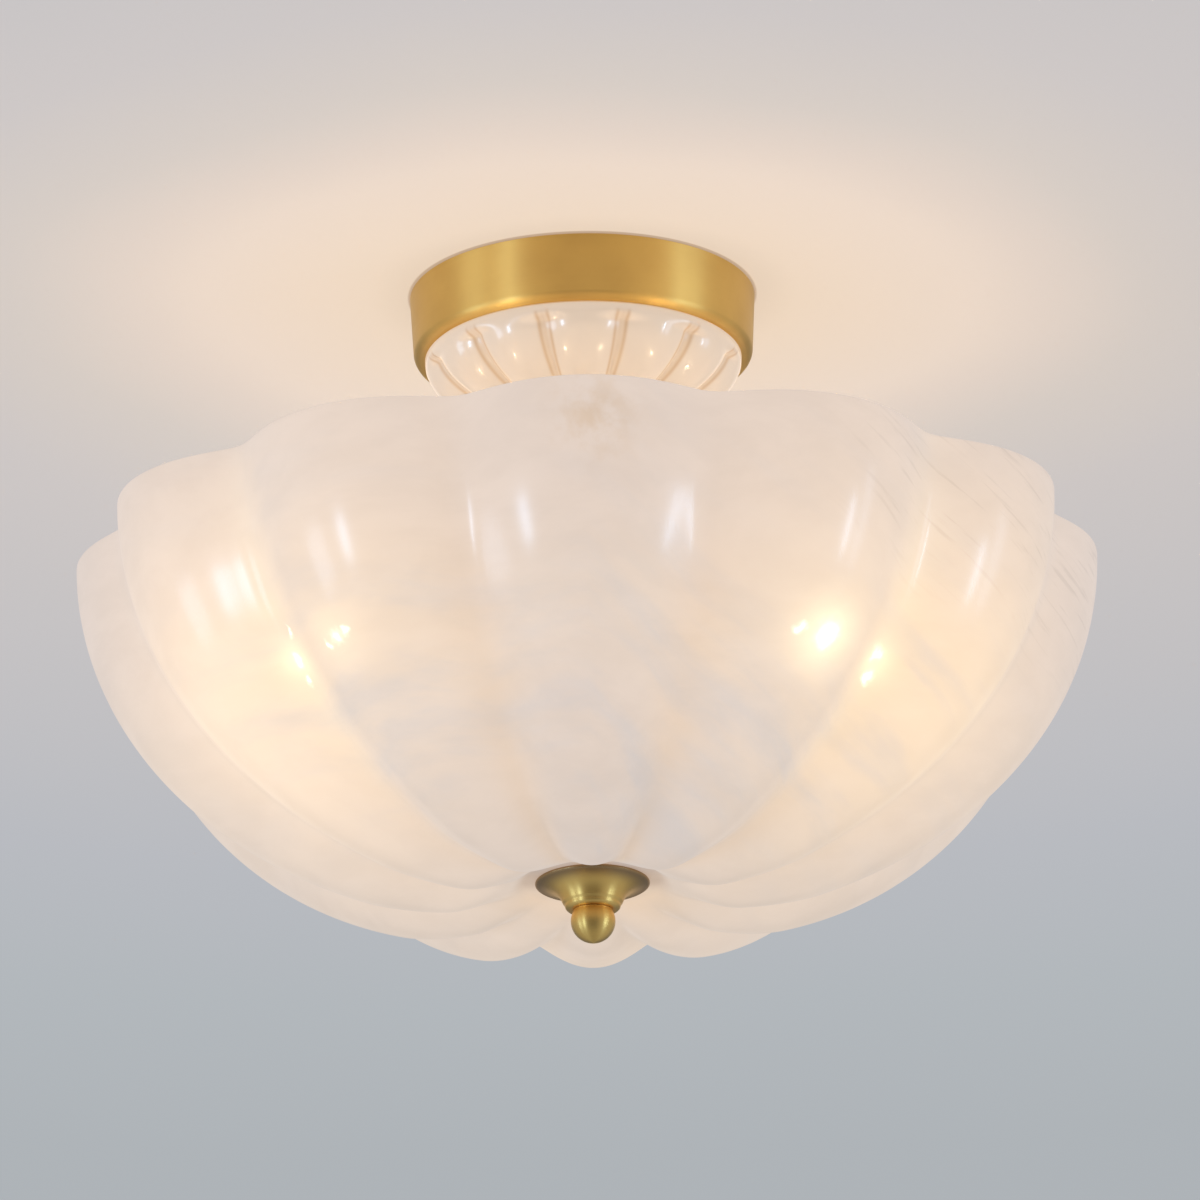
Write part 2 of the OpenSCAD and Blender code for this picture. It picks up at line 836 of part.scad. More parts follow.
crossbar();
ground_screw();
stem_pipe();
pipe_nuts();
canopy();
canopy_washer();
neck_gasket();
neck_dish();
neck_pad();
neck_cap();
neck_collar();
stem_sleeve();
hub_body();
hub_cover();
hub_screws();
terminal_block();
live_leads();
neutral_leads();
arm(0);  // arm_1
arm(1);  // arm_2
arm(2);  // arm_3
arm_nuts();
lampholder(0);  // lampholder_1
lampholder(1);  // lampholder_2
lampholder(2);  // lampholder_3
screw_shell(0);  // screw_shell_1
screw_shell(1);  // screw_shell_2
screw_shell(2);  // screw_shell_3
centre_contact(0);  // centre_contact_1
centre_contact(1);  // centre_contact_2
centre_contact(2);  // centre_contact_3
bulb_glass(0);  // bulb_glass_1
bulb_glass(1);  // bulb_glass_2
bulb_glass(2);  // bulb_glass_3
bulb_stem(0);  // bulb_stem_1
bulb_stem(1);  // bulb_stem_2
bulb_stem(2);  // bulb_stem_3
led_filaments(0);  // led_filaments_1
led_filaments(1);  // led_filaments_2
led_filaments(2);  // led_filaments_3
bulb_cap(0);  // bulb_cap_1
bulb_cap(1);  // bulb_cap_2
bulb_cap(2);  // bulb_cap_3
bulb_insulator(0);  // bulb_insulator_1
bulb_insulator(1);  // bulb_insulator_2
bulb_insulator(2);  // bulb_insulator_3
bulb_eyelet(0);  // bulb_eyelet_1
bulb_eyelet(1);  // bulb_eyelet_2
bulb_eyelet(2);  // bulb_eyelet_3
centre_rod();
rod_nuts();
bowl_washer();
upper_gasket();
bowl();
lower_gasket();
finial_cup();
finial();
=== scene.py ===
import math

import bmesh
import bpy
import numpy as np
from mathutils import Matrix, Vector


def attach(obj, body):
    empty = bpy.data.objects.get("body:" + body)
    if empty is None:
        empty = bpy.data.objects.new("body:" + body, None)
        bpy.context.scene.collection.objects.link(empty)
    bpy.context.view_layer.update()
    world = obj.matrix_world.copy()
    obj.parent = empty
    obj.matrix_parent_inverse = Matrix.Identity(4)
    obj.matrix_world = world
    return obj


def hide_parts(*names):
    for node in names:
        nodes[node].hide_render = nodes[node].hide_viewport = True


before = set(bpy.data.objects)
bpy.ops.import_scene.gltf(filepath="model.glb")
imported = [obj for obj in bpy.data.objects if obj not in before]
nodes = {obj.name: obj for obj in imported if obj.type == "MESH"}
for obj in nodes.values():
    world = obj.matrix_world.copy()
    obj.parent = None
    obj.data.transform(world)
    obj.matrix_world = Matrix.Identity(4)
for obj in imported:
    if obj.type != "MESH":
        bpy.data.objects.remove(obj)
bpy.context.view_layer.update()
mm = 0.001
print("frame loaded,", len(nodes), "nodes")


# Below the light and in front of it, looking up at the ceiling
camera = {
    "target": (0, 0, -0.150),
    "distance": 4.5,
    "climb": 20.089,  # degrees that it looks up
    "roll": 1.02,
    "aside": 0.0050,  # how far right of the target the middle of the picture is
    "above": 0.01795,  # and how far above it
    "lens": 336.15,
    "sensor": 36,
    "reach": 100,  # how far it sees
}


def addCamera():
    climb = math.radians(camera["climb"])
    ahead = Vector((0, math.cos(climb), math.sin(climb)))
    up = Vector((0, -math.sin(climb), math.cos(climb)))
    target = Vector(camera["target"])
    place = target - ahead * camera["distance"]
    aim = target + Vector((camera["aside"], 0, 0)) + up * camera["above"] - place
    data = bpy.data.cameras.new("camera")
    data.lens = camera["lens"]
    data.sensor_width = camera["sensor"]
    data.clip_end = camera["reach"]
    seer = bpy.data.objects.new("camera", data)
    turn = aim.to_track_quat("-Z", "Y").to_matrix().to_4x4()
    roll = Matrix.Rotation(-math.radians(camera["roll"]), 4, "Z")
    seer.matrix_world = Matrix.Translation(place) @ turn @ roll
    bpy.context.scene.collection.objects.link(seer)
    bpy.context.scene.camera = seer


addCamera()
bpy.context.scene.view_settings.view_transform = "Standard"


# The output of a shader node, for sums and masks
class Signal:
    def __init__(self, socket):
        self.socket = socket
        self.tree = socket.id_data

    def make(self, kind, settings=None, inputs=None, output=0):
        node = self.tree.nodes.new(kind)
        for key, value in (settings or {}).items():
            if key == "stops":
                setStops(node.color_ramp, value)
            else:
                setattr(node, key, value)
        for key, value in (inputs or {}).items():
            plug(self.tree, node.inputs[key], value)
        return Signal(node.outputs[output])

    def isVector(self):
        return self.socket.type in ("VECTOR", "RGBA")

    def maths(self, operation, first, second=None):
        terms = [first] if second is None else [first, second]
        vectors = [t for t in terms if isinstance(t, tuple) or isinstance(t, Signal) and t.isVector()]
        if not vectors:
            return self.make("ShaderNodeMath", {"operation": operation}, dict(enumerate(terms)))
        if operation == "MULTIPLY" and len(vectors) == 1:
            scale = second if vectors[0] is first else first
            scaled = {0: vectors[0], "Scale": scale}
            return self.make("ShaderNodeVectorMath", {"operation": "SCALE"}, scaled)
        return self.make("ShaderNodeVectorMath", {"operation": operation}, dict(enumerate(terms)))

    def __add__(self, other):
        return self.maths("ADD", self, other)

    def __sub__(self, other):
        return self.maths("SUBTRACT", self, other)

    def __mul__(self, other):
        return self.maths("MULTIPLY", self, other)

    def __radd__(self, other):
        return self.maths("ADD", other, self)

    def __rsub__(self, other):
        return self.maths("SUBTRACT", other, self)

    def __rmul__(self, other):
        return self.maths("MULTIPLY", other, self)

    def __abs__(self):
        return self.maths("ABSOLUTE", self)

    def step(self, low, high):  # 0 up to low, 1 from high on, smooth between
        smooth = {"interpolation_type": "SMOOTHSTEP"}
        return self.make("ShaderNodeMapRange", smooth, {0: self, 1: low, 2: high})

    def bell(self, width):  # 1 where the signal is 0, falling off over width
        share = self * (1 / width)
        return self.maths("EXPONENT", share * share * -1)

    def noise(self, scale, detail=3, rough=0.5, output=0):
        inputs = {"Vector": self, "Scale": scale, "Detail": detail, "Roughness": rough}
        return self.make("ShaderNodeTexNoise", {}, inputs, output)

    def warped(self, scale, amount):  # these coordinates, pushed about by a noise
        return self + (self.noise(scale, detail=2, output=1) - (0.5, 0.5, 0.5)) * amount

    def part(self, axis):
        return self.make("ShaderNodeSeparateXYZ", {}, {0: self}, "XYZ".index(axis))

    def far(self, point):  # distance to a point
        return self.make("ShaderNodeVectorMath", {"operation": "DISTANCE"}, {0: self, 1: point}, 1)

    def fromAxis(self):  # distance to the light's upright axis
        return (self * (1, 1, 0)).far((0, 0, 0))

    def join(self, second, third):  # three numbers as one vector
        return self.make("ShaderNodeCombineXYZ", {}, {0: self, 1: second, 2: third})

    def blend(self, low, high):  # colour low where the signal is 0, and high where it is 1
        return self.make("ShaderNodeMix", {"data_type": "RGBA"}, {0: self, 6: low, 7: high}, 2)

    def ramp(self, stops):
        return self.make("ShaderNodeValToRGB", {"stops": stops}, {0: self})


def plug(tree, socket, value):
    if isinstance(value, Signal):
        tree.links.new(value.socket, socket)
    elif socket.type == "RGBA":
        socket.default_value = (*value, 1)
    else:
        socket.default_value = value


def setStops(ramp, stops):
    for i, (place, colour) in enumerate(stops):
        element = ramp.elements[i] if i < 2 else ramp.elements.new(place)
        element.position = place
        element.color = (*colour, 1)


def tone(red, green, blue):  # a colour as a paint chart gives it, 0 to 255, as the shader needs it
    shares = red / 255, green / 255, blue / 255
    return tuple(s / 12.92 if s <= 0.04045 else ((s + 0.055) / 1.055) ** 2.4 for s in shares)


def startMaterial(name):  # an empty material, and its object coordinates
    material = bpy.data.materials.new(name)
    material.use_nodes = True
    material.node_tree.nodes.clear()
    coords = material.node_tree.nodes.new("ShaderNodeTexCoord")
    return material, Signal(coords.outputs["Object"])


def surface(owner, shader, end="ShaderNodeOutputMaterial"):
    tree = owner.node_tree
    tree.links.new(shader.socket, tree.nodes.new(end).inputs["Surface"])
    return owner


def finishMaterial(material, place, inputs, bump=None):  # bump is a height and its depth in metres
    if bump:
        inputs["Normal"] = place.make("ShaderNodeBump", {}, {"Height": bump[0], "Distance": bump[1]})
    return surface(material, place.make("ShaderNodeBsdfPrincipled", {}, inputs))


def edgeOn(place):  # 0 where a surface is seen face on, 1 at its edges
    return place.make("ShaderNodeLayerWeight", {}, {"Blend": 0.5}, "Facing")


turnedLook = {
    "clouds": 45,
    "cloudEdges": (0.35, 0.75),
    "cloudRough": 0.04,  # how much rougher the clouds are
    "ringDepth": 0.000012,
}


# Metal turned on a lathe: fine rings and faint clouds
def turnedMetal(name, light, dark, rough, rings=900, streak=0.12, brushed=0.85, tint=None):
    material, place = startMaterial(name)
    turned = place.fromAxis().join(place.part("Z"), 0.0).noise(rings, detail=4, rough=0.6)
    cloud = place.noise(turnedLook["clouds"]).step(*turnedLook["cloudEdges"])
    colour = cloud.blend(light, dark)
    return finishMaterial(material, place, {
        "Base Color": tint(place, colour) if tint else colour,
        "Metallic": 1.0,
        "Roughness": rough + (turned - 0.5) * streak + cloud * turnedLook["cloudRough"],
        "Anisotropic": brushed,
        "Anisotropic Rotation": 0.25,
    }, (turned, turnedLook["ringDepth"]))


finialReflections = {
    "flare": (0.37, 0.25, 0.125),  # painted reflection of the pale glass: greyer out on the cup's flare
    "flareRadii": (0.0145, 0.0220),
    "neck": (0.86, 0.50, 0.12),  # painted reflection of the glowing glass: redder on the ball's neck, where it goes into the cup
    "neckShare": 0.9,
    "neckHeights": (-0.2705, -0.2620),
    "neckRadii": (0.0095, 0.0089),
}


# Painted reflections on the finial: the pale glass greys the cup's flare, and the glowing glass reddens the
# ball's neck
def finialPaintedReflections(place, colour):
    around = place.fromAxis()
    colour = around.step(*finialReflections["flareRadii"]).blend(colour, finialReflections["flare"])
    neckHigh = place.part("Z").step(*finialReflections["neckHeights"])
    onNeck = neckHigh * around.step(*finialReflections["neckRadii"]) * finialReflections["neckShare"]
    return onNeck.blend(colour, finialReflections["neck"])


plainLook = {
    "metalDrift": (60, 0.01),
    "metalEdges": (0.3, 0.7),
    "metalRough": 0.25,  # how much the roughness follows the grain
    "solidEdges": (0.3, 0.75),
    "solidRough": 0.1,
}


# Cast, stamped or plated metal with a fine cloudy grain
def plainMetal(name, light, dark, rough, grain, depth=0.00002):
    material, place = startMaterial(name)
    cloud = place.warped(*plainLook["metalDrift"]).noise(grain, detail=4, rough=0.6)
    return finishMaterial(material, place, {
        "Base Color": cloud.step(*plainLook["metalEdges"]).blend(light, dark),
        "Metallic": 1.0,
        "Roughness": rough + (cloud - 0.5) * plainLook["metalRough"],
    }, (cloud, depth))


# Plastic, rubber, paint or glaze
def plainSolid(name, light, dark, rough, grain, coat=0.0, depth=0.00001):
    material, place = startMaterial(name)
    cloud = place.noise(grain)
    return finishMaterial(material, place, {
        "Base Color": cloud.step(*plainLook["solidEdges"]).blend(light, dark),
        "Roughness": rough + (cloud - 0.5) * plainLook["solidRough"],
        "Coat Weight": coat,
        "Coat Roughness": 0.05,
    }, (cloud, depth))


clearLook = {
    "haze": 70,
    "hazeShade": 0.93,
    "hazeRough": 0.03,
    "edge": 0.9,  # how much denser it is at its edges
}


# Thin clear glass or rubber: see-through face on, denser at its edges
def clearMaterial(name, colour, rough, clear, shine=(0, 0, 0)):
    material, place = startMaterial(name)
    edge = edgeOn(place)
    haze = place.noise(clearLook["haze"])
    hazed = tuple(c * clearLook["hazeShade"] for c in colour)
    return finishMaterial(material, place, {
        "Base Color": haze.blend(colour, hazed),
        "Roughness": rough + haze * clearLook["hazeRough"],
        "Alpha": clear + edge * edge * edge * clearLook["edge"],
        "Emission Color": shine,
        "Emission Strength": 1.0,
    })


threadLook = {
    "oneBand": 0.314,  # scale at which the wave texture has one band in each unit
    "depth": 0.0002,
    "clouds": 140,
    "cloudRough": 0.1,
}


# A metal with a fine thread round each of its tubes
def threadMaterial(name, light, dark, rough, pitch):
    material, place = startMaterial(name)
    bands = {"wave_type": "BANDS", "bands_direction": "Z"}
    ridge = place.make("ShaderNodeTexWave", bands, {"Vector": place, "Scale": threadLook["oneBand"] / pitch})
    cloud = place.noise(threadLook["clouds"])
    return finishMaterial(material, place, {
        "Base Color": cloud.blend(light, dark),
        "Metallic": 1.0,
        "Roughness": rough + cloud * threadLook["cloudRough"],
    }, (ridge, threadLook["depth"]))


glass = {
    "lobes": 12,
    "arch": 0.09,  # how high a lobe's round arc stands above its creases, as a share of the radius
    "steps": 28,  # points across one lobe
    "slowWaves": 5,  # round the glass, in what the mould and the hand leave
    "slowRise": 17,  # and how fast they turn with the height
    "fastWaves": 13,
    "fastRise": 23,
}

# How the bowl's glass looks. Places and heights are in metres.
# Where two of them make a pair, a mask is 0 at the first and 1 at the second, and so with edges.
# A drift is the scale of a noise and how far, in metres, that noise pushes the pattern about.
bowlLook = {
    "milk": [(0.25, 0.22, 0.20), (0.28, 0.25, 0.23)],
    "flat": 2.0,  # how much finer its clouds and mottles are upright than level
    "drift": (7, 0.09),
    "clouds": {"scale": 7, "detail": 4, "rough": 0.55},
    "cloudEdges": (0.38, 0.68),
    "mottle": (0.30, 0.27, 0.25),
    "mottleShare": 0.3,
    "mottleGlow": 0.05,
    "mottles": {"scale": 32, "detail": 5, "rough": 0.6},
    "mottleEdges": (0.3, 0.7),
    "wisp": (0.24, 0.245, 0.26),
    "wispShare": 0.7,
    "wisps": {"scale": 11, "detail": 5, "rough": 0.55},
    "wispEdges": (0.42, 0.72),
    "wispDrift": (6, 0.035),
    "fall": 0.7,  # how steeply the wisps go down on the right
    "stretch": 4.2,  # how much finer they are across than along
    "wispHigh": 0.25,  # how much of them is left in the upper half
    "wispSides": (1.6, 2.3),  # in lobes from the front
    "wispSideLoss": 0.75,  # how much of them is gone towards the sides
    "wispLampLoss": 0.6,  # and before the right lamp
    "wispLampBeam": (0.3, 0.9),
    "wispLampAcross": (0, 0.05),
    "veins": {"scale": 34, "detail": 3, "rough": 0.55},
    "veinEdges": (0.55, 0.70),
    "veinDrift": (14, 0.02),
    "veinStretch": 2.6,
    "veinAcross": (0.085, 0.135),
    "veinHeights": (-0.19, -0.15),
    "veinShade": 0.12,
    "light": (0.644, 0.522, 0.438),
    "wispLight": (0.560, 0.485, 0.445),
    "wispLightShare": 0.8,
    "wispOnLamp": 0.3,  # how much a wisp takes from a lamp's glow
    "wispOnBeam": 0.4,
    # middle of each lamp's glow on the glass
    "lamps": [(0, 0.165, -0.212), (-0.143, -0.0826, -0.212), (0.143, -0.0826, -0.212)],
    "lampSpread": 0.085,
    "lampLeft": (0.318, 0.208, 0.090),
    "lampRight": (0.254, 0.150, 0.024),
    "lampAcross": (-0.08, 0.08),
    "lampLobes": (0.45, 0.9),
    "lampBeside": 0.4,  # how much of the glow is left on lobes that face no lamp
    "beams": [(-0.095, -0.146, -0.186), (0.095, -0.146, -0.186), (0, 0.174, -0.186)],  # brighter cores
    "beamSpread": 0.058,
    "beamColour": (0.14, 0.085, 0.02),
    "lowerHalf": (-0.15, -0.215),
    "towardSeat": (-0.222, -0.262),
    "brownPatch": (0.004, -0.204, -0.130),  # a small darker brown mottled patch near the rim in front
    "brownPatchSpread": 0.015,
    "brownPatchClouds": {"scale": 75, "detail": 4, "rough": 0.6},
    "brownPatchEdges": (0.42, 0.64),
    "creaseEdges": (0.27, 0.0),  # in lobes from the middle of a crease
    "litAcross": (0.05, 0.09),  # creases beside a beam are brighter from here outwards
    "middleLobes": 1.6,  # how far round, in lobes, the lobes in front go grey towards the bottom
    "middleHeights": (-0.18, -0.23),
    "frontLobes": 5 / 3,  # and the creases between them go darker
    "frontHeights": (-0.15, -0.19),
    "besideRadii": (0.033, 0.026),  # a shade beside the finial cup
    "besideDepth": (0.014, 0.0),
    "behindRadii": (0.050, 0.024),  # and a painted warm glow behind it
    "behindDepth": (0.0, 0.018),
    "changes": {  # what is added to the glass's own light where the mask of that name is 1
        "lowerHalf": (0.030, 0.016, -0.011),
        "towardSeat": (-0.031, -0.023, -0.019),
        "lampLobe": (-0.031, -0.021, -0.010),
        "edge": (-0.085, -0.036, 0.006),
        "brownPatch": (-0.06, -0.09, -0.13),
        "litCrease": (0.12, 0.10, 0.04),
        "middle": (-0.044, -0.025, 0.003),
        "frontCrease": (-0.027, -0.037, -0.041),
        "besideCup": (-0.13, -0.14, -0.14),
        "behindCup": (0.045, 0.0, -0.045),
    },
    "specks": [  # place, width and how tall: lamp filaments that shine through
        ((0.0930, -0.146, -0.2010), 0.0034, 2.0),
        ((0.0818, -0.1529, -0.2007), 0.0016, 1.0),
        ((0.1130, -0.1149, -0.1969), 0.0022, 1.0),
        ((0.1087, -0.1085, -0.2051), 0.0020, 1.0),
        ((-0.0975, -0.1445, -0.1975), 0.0020, 1.0),
        ((-0.0941, -0.1490, -0.1969), 0.0013, 1.0),
        ((-0.0998, -0.1395, -0.1998), 0.0011, 1.6),
        ((-0.1134, -0.1148, -0.1965), 0.0019, 1.8),
        ((-0.1164, -0.1233, -0.1871), 0.0010, 2.5),
        ((-0.1091, -0.1102, -0.2035), 0.0010, 2.0),
        ((0.006, 0.172, -0.2000), 0.0040, 1.4),
    ],
    "speckColour": (1.3, 1.2, 0.9),
    "speckDrift": (170, 0.007),
    "halos": [  # place, width and strength of the shine round the largest specks
        ((0.0923, -0.146, -0.2014), 0.014, 0.45),
        ((-0.0990, -0.1442, -0.1972), 0.012, 0.16),
        ((0.006, 0.172, -0.2), 0.014, 0.3),
        ((0.111, -0.112, -0.2), 0.008, 0.3),
        ((-0.1134, -0.1148, -0.1965), 0.008, 0.3),
    ],
    "haloColour": (1.0, 0.82, 0.45),
    "coat": 0.65,
    "coatEdges": (0.5, 0.85),
    "coatLoss": 0.6,  # how much of the coat is gone where the glass is seen edge on
    "swells": 22,
    "wispSwell": 0.2,
    "swell": 0.0004,  # depth of the slow waves in its surface
}


def lobeTurn(place):  # the way round the axis, in lobes: whole numbers on the crests, 0 in front
    around = place.maths("ARCTAN2", place.part("X"), place.part("Y") * -1)
    return around * (glass["lobes"] / (2 * math.pi))


def spots(place, points, spread):  # a soft round spot at each point
    total = place.far(points[0]).bell(spread)
    for point in points[1:]:
        total = total + place.far(point).bell(spread)
    return total


# Bluish wisps, level to the left and falling to the right, and fine veins high up on the right
def bowlWisps(place, turn, beam):
    across, low = place.part("X"), place.part("Z")
    fall = (low + place.maths("MAXIMUM", across, 0.0) * bowlLook["fall"]) * bowlLook["stretch"]
    wisp = across.join(place.part("Y"), fall).warped(*bowlLook["wispDrift"])
    wisp = wisp.noise(**bowlLook["wisps"]).step(*bowlLook["wispEdges"])
    wisp = wisp * (low.step(*bowlLook["lowerHalf"]) * (1 - bowlLook["wispHigh"]) + bowlLook["wispHigh"])
    wisp = wisp * (1 - abs(turn).step(*bowlLook["wispSides"]) * bowlLook["wispSideLoss"])
    rightLamp = beam.step(*bowlLook["wispLampBeam"]) * across.step(*bowlLook["wispLampAcross"])
    wisp = wisp * (1 - rightLamp * bowlLook["wispLampLoss"])
    veinFall = fall * bowlLook["veinStretch"]
    vein = across.join(place.part("Y"), veinFall).warped(*bowlLook["veinDrift"])
    vein = vein.noise(**bowlLook["veins"]).step(*bowlLook["veinEdges"])
    return wisp, vein * across.step(*bowlLook["veinAcross"]) * low.step(*bowlLook["veinHeights"])


# Where the glass's own light changes: one mask for each of the bowl's changes
def bowlMasks(place, turn, beam):
    across, back, low, around = place.part("X"), place.part("Y"), place.part("Z"), place.fromAxis()
    edge = edgeOn(place)
    crease = abs(place.maths("FRACT", turn) - 0.5).step(*bowlLook["creaseEdges"])
    brownPatch = place.noise(**bowlLook["brownPatchClouds"]).step(*bowlLook["brownPatchEdges"])
    facing = place.maths("COSINE", turn * (math.pi / 2)) * -1  # 1 on the lobes that face a lamp
    middle = turn.bell(bowlLook["middleLobes"]) * low.step(*bowlLook["middleHeights"])
    front = turn.bell(bowlLook["frontLobes"]) * low.step(*bowlLook["frontHeights"])
    return {
        "lowerHalf": low.step(*bowlLook["lowerHalf"]),
        "towardSeat": low.step(*bowlLook["towardSeat"]),
        "lampLobe": facing.step(*bowlLook["lampLobes"]),
        "edge": edge * edge,
        "brownPatch": place.far(bowlLook["brownPatch"]).bell(bowlLook["brownPatchSpread"]) * brownPatch,
        "litCrease": crease * crease * beam * abs(across).step(*bowlLook["litAcross"]),
        "middle": middle * (1 - crease),
        "frontCrease": front * crease,
        "besideCup": around.step(*bowlLook["besideRadii"]) * back.step(*bowlLook["besideDepth"]),
        "behindCup": around.step(*bowlLook["behindRadii"]) * back.step(*bowlLook["behindDepth"]),
    }


# What the lamps inside send through the glass
def bowlLight(place, turn, beam, wisp, vein, mottle):
    masks, beside = bowlMasks(place, turn, beam), bowlLook["lampBeside"]
    glow = spots(place, bowlLook["lamps"], bowlLook["lampSpread"])
    glow = glow * (masks["lampLobe"] * (1 - beside) + beside)
    lampSide = place.part("X").step(*bowlLook["lampAcross"])
    lampColour = lampSide.blend(bowlLook["lampLeft"], bowlLook["lampRight"])
    light = (wisp * bowlLook["wispLightShare"]).blend(bowlLook["light"], bowlLook["wispLight"])
    light = (1 - vein * bowlLook["veinShade"] + mottle * bowlLook["mottleGlow"]) * light
    light = light + glow * (1 - wisp * bowlLook["wispOnLamp"]) * lampColour
    light = light + beam * (1 - wisp * bowlLook["wispOnBeam"]) * bowlLook["beamColour"]
    for name, change in bowlLook["changes"].items():
        light = light + masks[name] * change
    ragged = place.warped(*bowlLook["speckDrift"])
    for (x, y, z), width, tall in bowlLook["specks"]:
        squashed = ragged * (1, 1, 1 / tall)
        light = light + squashed.far((x, y, z / tall)).bell(width) * bowlLook["speckColour"]
    for point, width, strength in bowlLook["halos"]:
        light = light + place.far(point).bell(width) * strength * bowlLook["haloColour"]
    return light


# Cloudy cast glass: cream with bluish wisps and fine veins, warm where a lamp stands behind it
def bowlMaterial(name):
    material, place = startMaterial(name)
    turn = lobeTurn(place)
    beam = spots(place, bowlLook["beams"], bowlLook["beamSpread"])
    wisp, vein = bowlWisps(place, turn, beam)
    drift = (place * (1, 1, bowlLook["flat"])).warped(*bowlLook["drift"])
    mottle = drift.noise(**bowlLook["mottles"]).step(*bowlLook["mottleEdges"])
    body = drift.noise(**bowlLook["clouds"]).step(*bowlLook["cloudEdges"]).blend(*bowlLook["milk"])
    body = (wisp * bowlLook["wispShare"]).blend(body, bowlLook["wisp"])
    return finishMaterial(material, place, {
        "Base Color": (mottle * bowlLook["mottleShare"]).blend(body, bowlLook["mottle"]),
        "Specular IOR Level": 0.0,
        "Emission Color": bowlLight(place, turn, beam, wisp, vein, mottle),
        "Emission Strength": 1.0,
        "Coat Weight": bowlLook["coat"] - edgeOn(place).step(*bowlLook["coatEdges"]) * bowlLook["coatLoss"],
        "Coat Roughness": 0.2,
    }, (drift.noise(bowlLook["swells"]) + wisp * bowlLook["wispSwell"], bowlLook["swell"]))


neckLook = {
    "lineOff": 0.07,  # how far each warm line is from its crease, and how wide it is, in lobes
    "lineWidth": 0.026,
    "creaseWidth": 0.045,  # a fainter shade along the crease itself
    "creaseShare": 0.5,
    "lineTop": (-0.0285, -0.0315),  # heights between which the lines fade in below the rim
    "drift": (30, 0.02),
    "clouds": {"scale": 28, "detail": 4, "rough": 0.6},
    "cloudEdges": (0.35, 0.7),
    "body": [(0.42, 0.37, 0.33), (0.39, 0.34, 0.30)],
    "lineBody": (0.34, 0.24, 0.15),
    "lineShare": 0.4,
    "light": [(0.466, 0.362, 0.266), (0.506, 0.387, 0.276)],
    "lineShade": (0.11, 0.14, 0.15),
    "coat": 0.62,
    "coatEdges": (0.35, 0.75),
    "coatLoss": 0.57,
    "swell": 0.0002,
}


# Paler pressed glass, with painted darker warm lines along each crease that stand in for the flutes bending
# the light
def neckMaterial(name):
    material, place = startMaterial(name)
    crease = abs(place.maths("FRACT", lobeTurn(place)) - 0.5)
    lines = (crease - neckLook["lineOff"]).bell(neckLook["lineWidth"])
    lines = lines + crease.bell(neckLook["creaseWidth"]) * neckLook["creaseShare"]
    lines = lines * place.part("Z").step(*neckLook["lineTop"])
    cloud = place.warped(*neckLook["drift"]).noise(**neckLook["clouds"])
    body = cloud.step(*neckLook["cloudEdges"]).blend(*neckLook["body"])
    return finishMaterial(material, place, {
        "Base Color": (lines * neckLook["lineShare"]).blend(body, neckLook["lineBody"]),
        "Specular IOR Level": 0.28,
        "Roughness": 0.1,
        "Emission Color": cloud.blend(*neckLook["light"]) - lines * neckLook["lineShade"],
        "Emission Strength": 1.0,
        "Coat Weight": neckLook["coat"] - edgeOn(place).step(*neckLook["coatEdges"]) * neckLook["coatLoss"],
        "Coat Roughness": 0.24,
        "Coat IOR": 1.6,
    }, (cloud, neckLook["swell"]))


filamentLook = {
    "body": [tone(240, 196, 96), tone(250, 214, 130)],
    "light": [(1.0, 0.72, 0.36), (1.0, 0.82, 0.50)],
    "strength": 6.0,
    "beads": 900,
}


# The coated sticks that give a bulb's light
def filamentMaterial(name):
    material, place = startMaterial(name)
    beads = place.noise(filamentLook["beads"], detail=2)
    return finishMaterial(material, place, {
        "Base Color": beads.blend(*filamentLook["body"]),
        "Roughness": 0.4,
        "Emission Color": beads.blend(*filamentLook["light"]),
        "Emission Strength": filamentLook["strength"],
    })


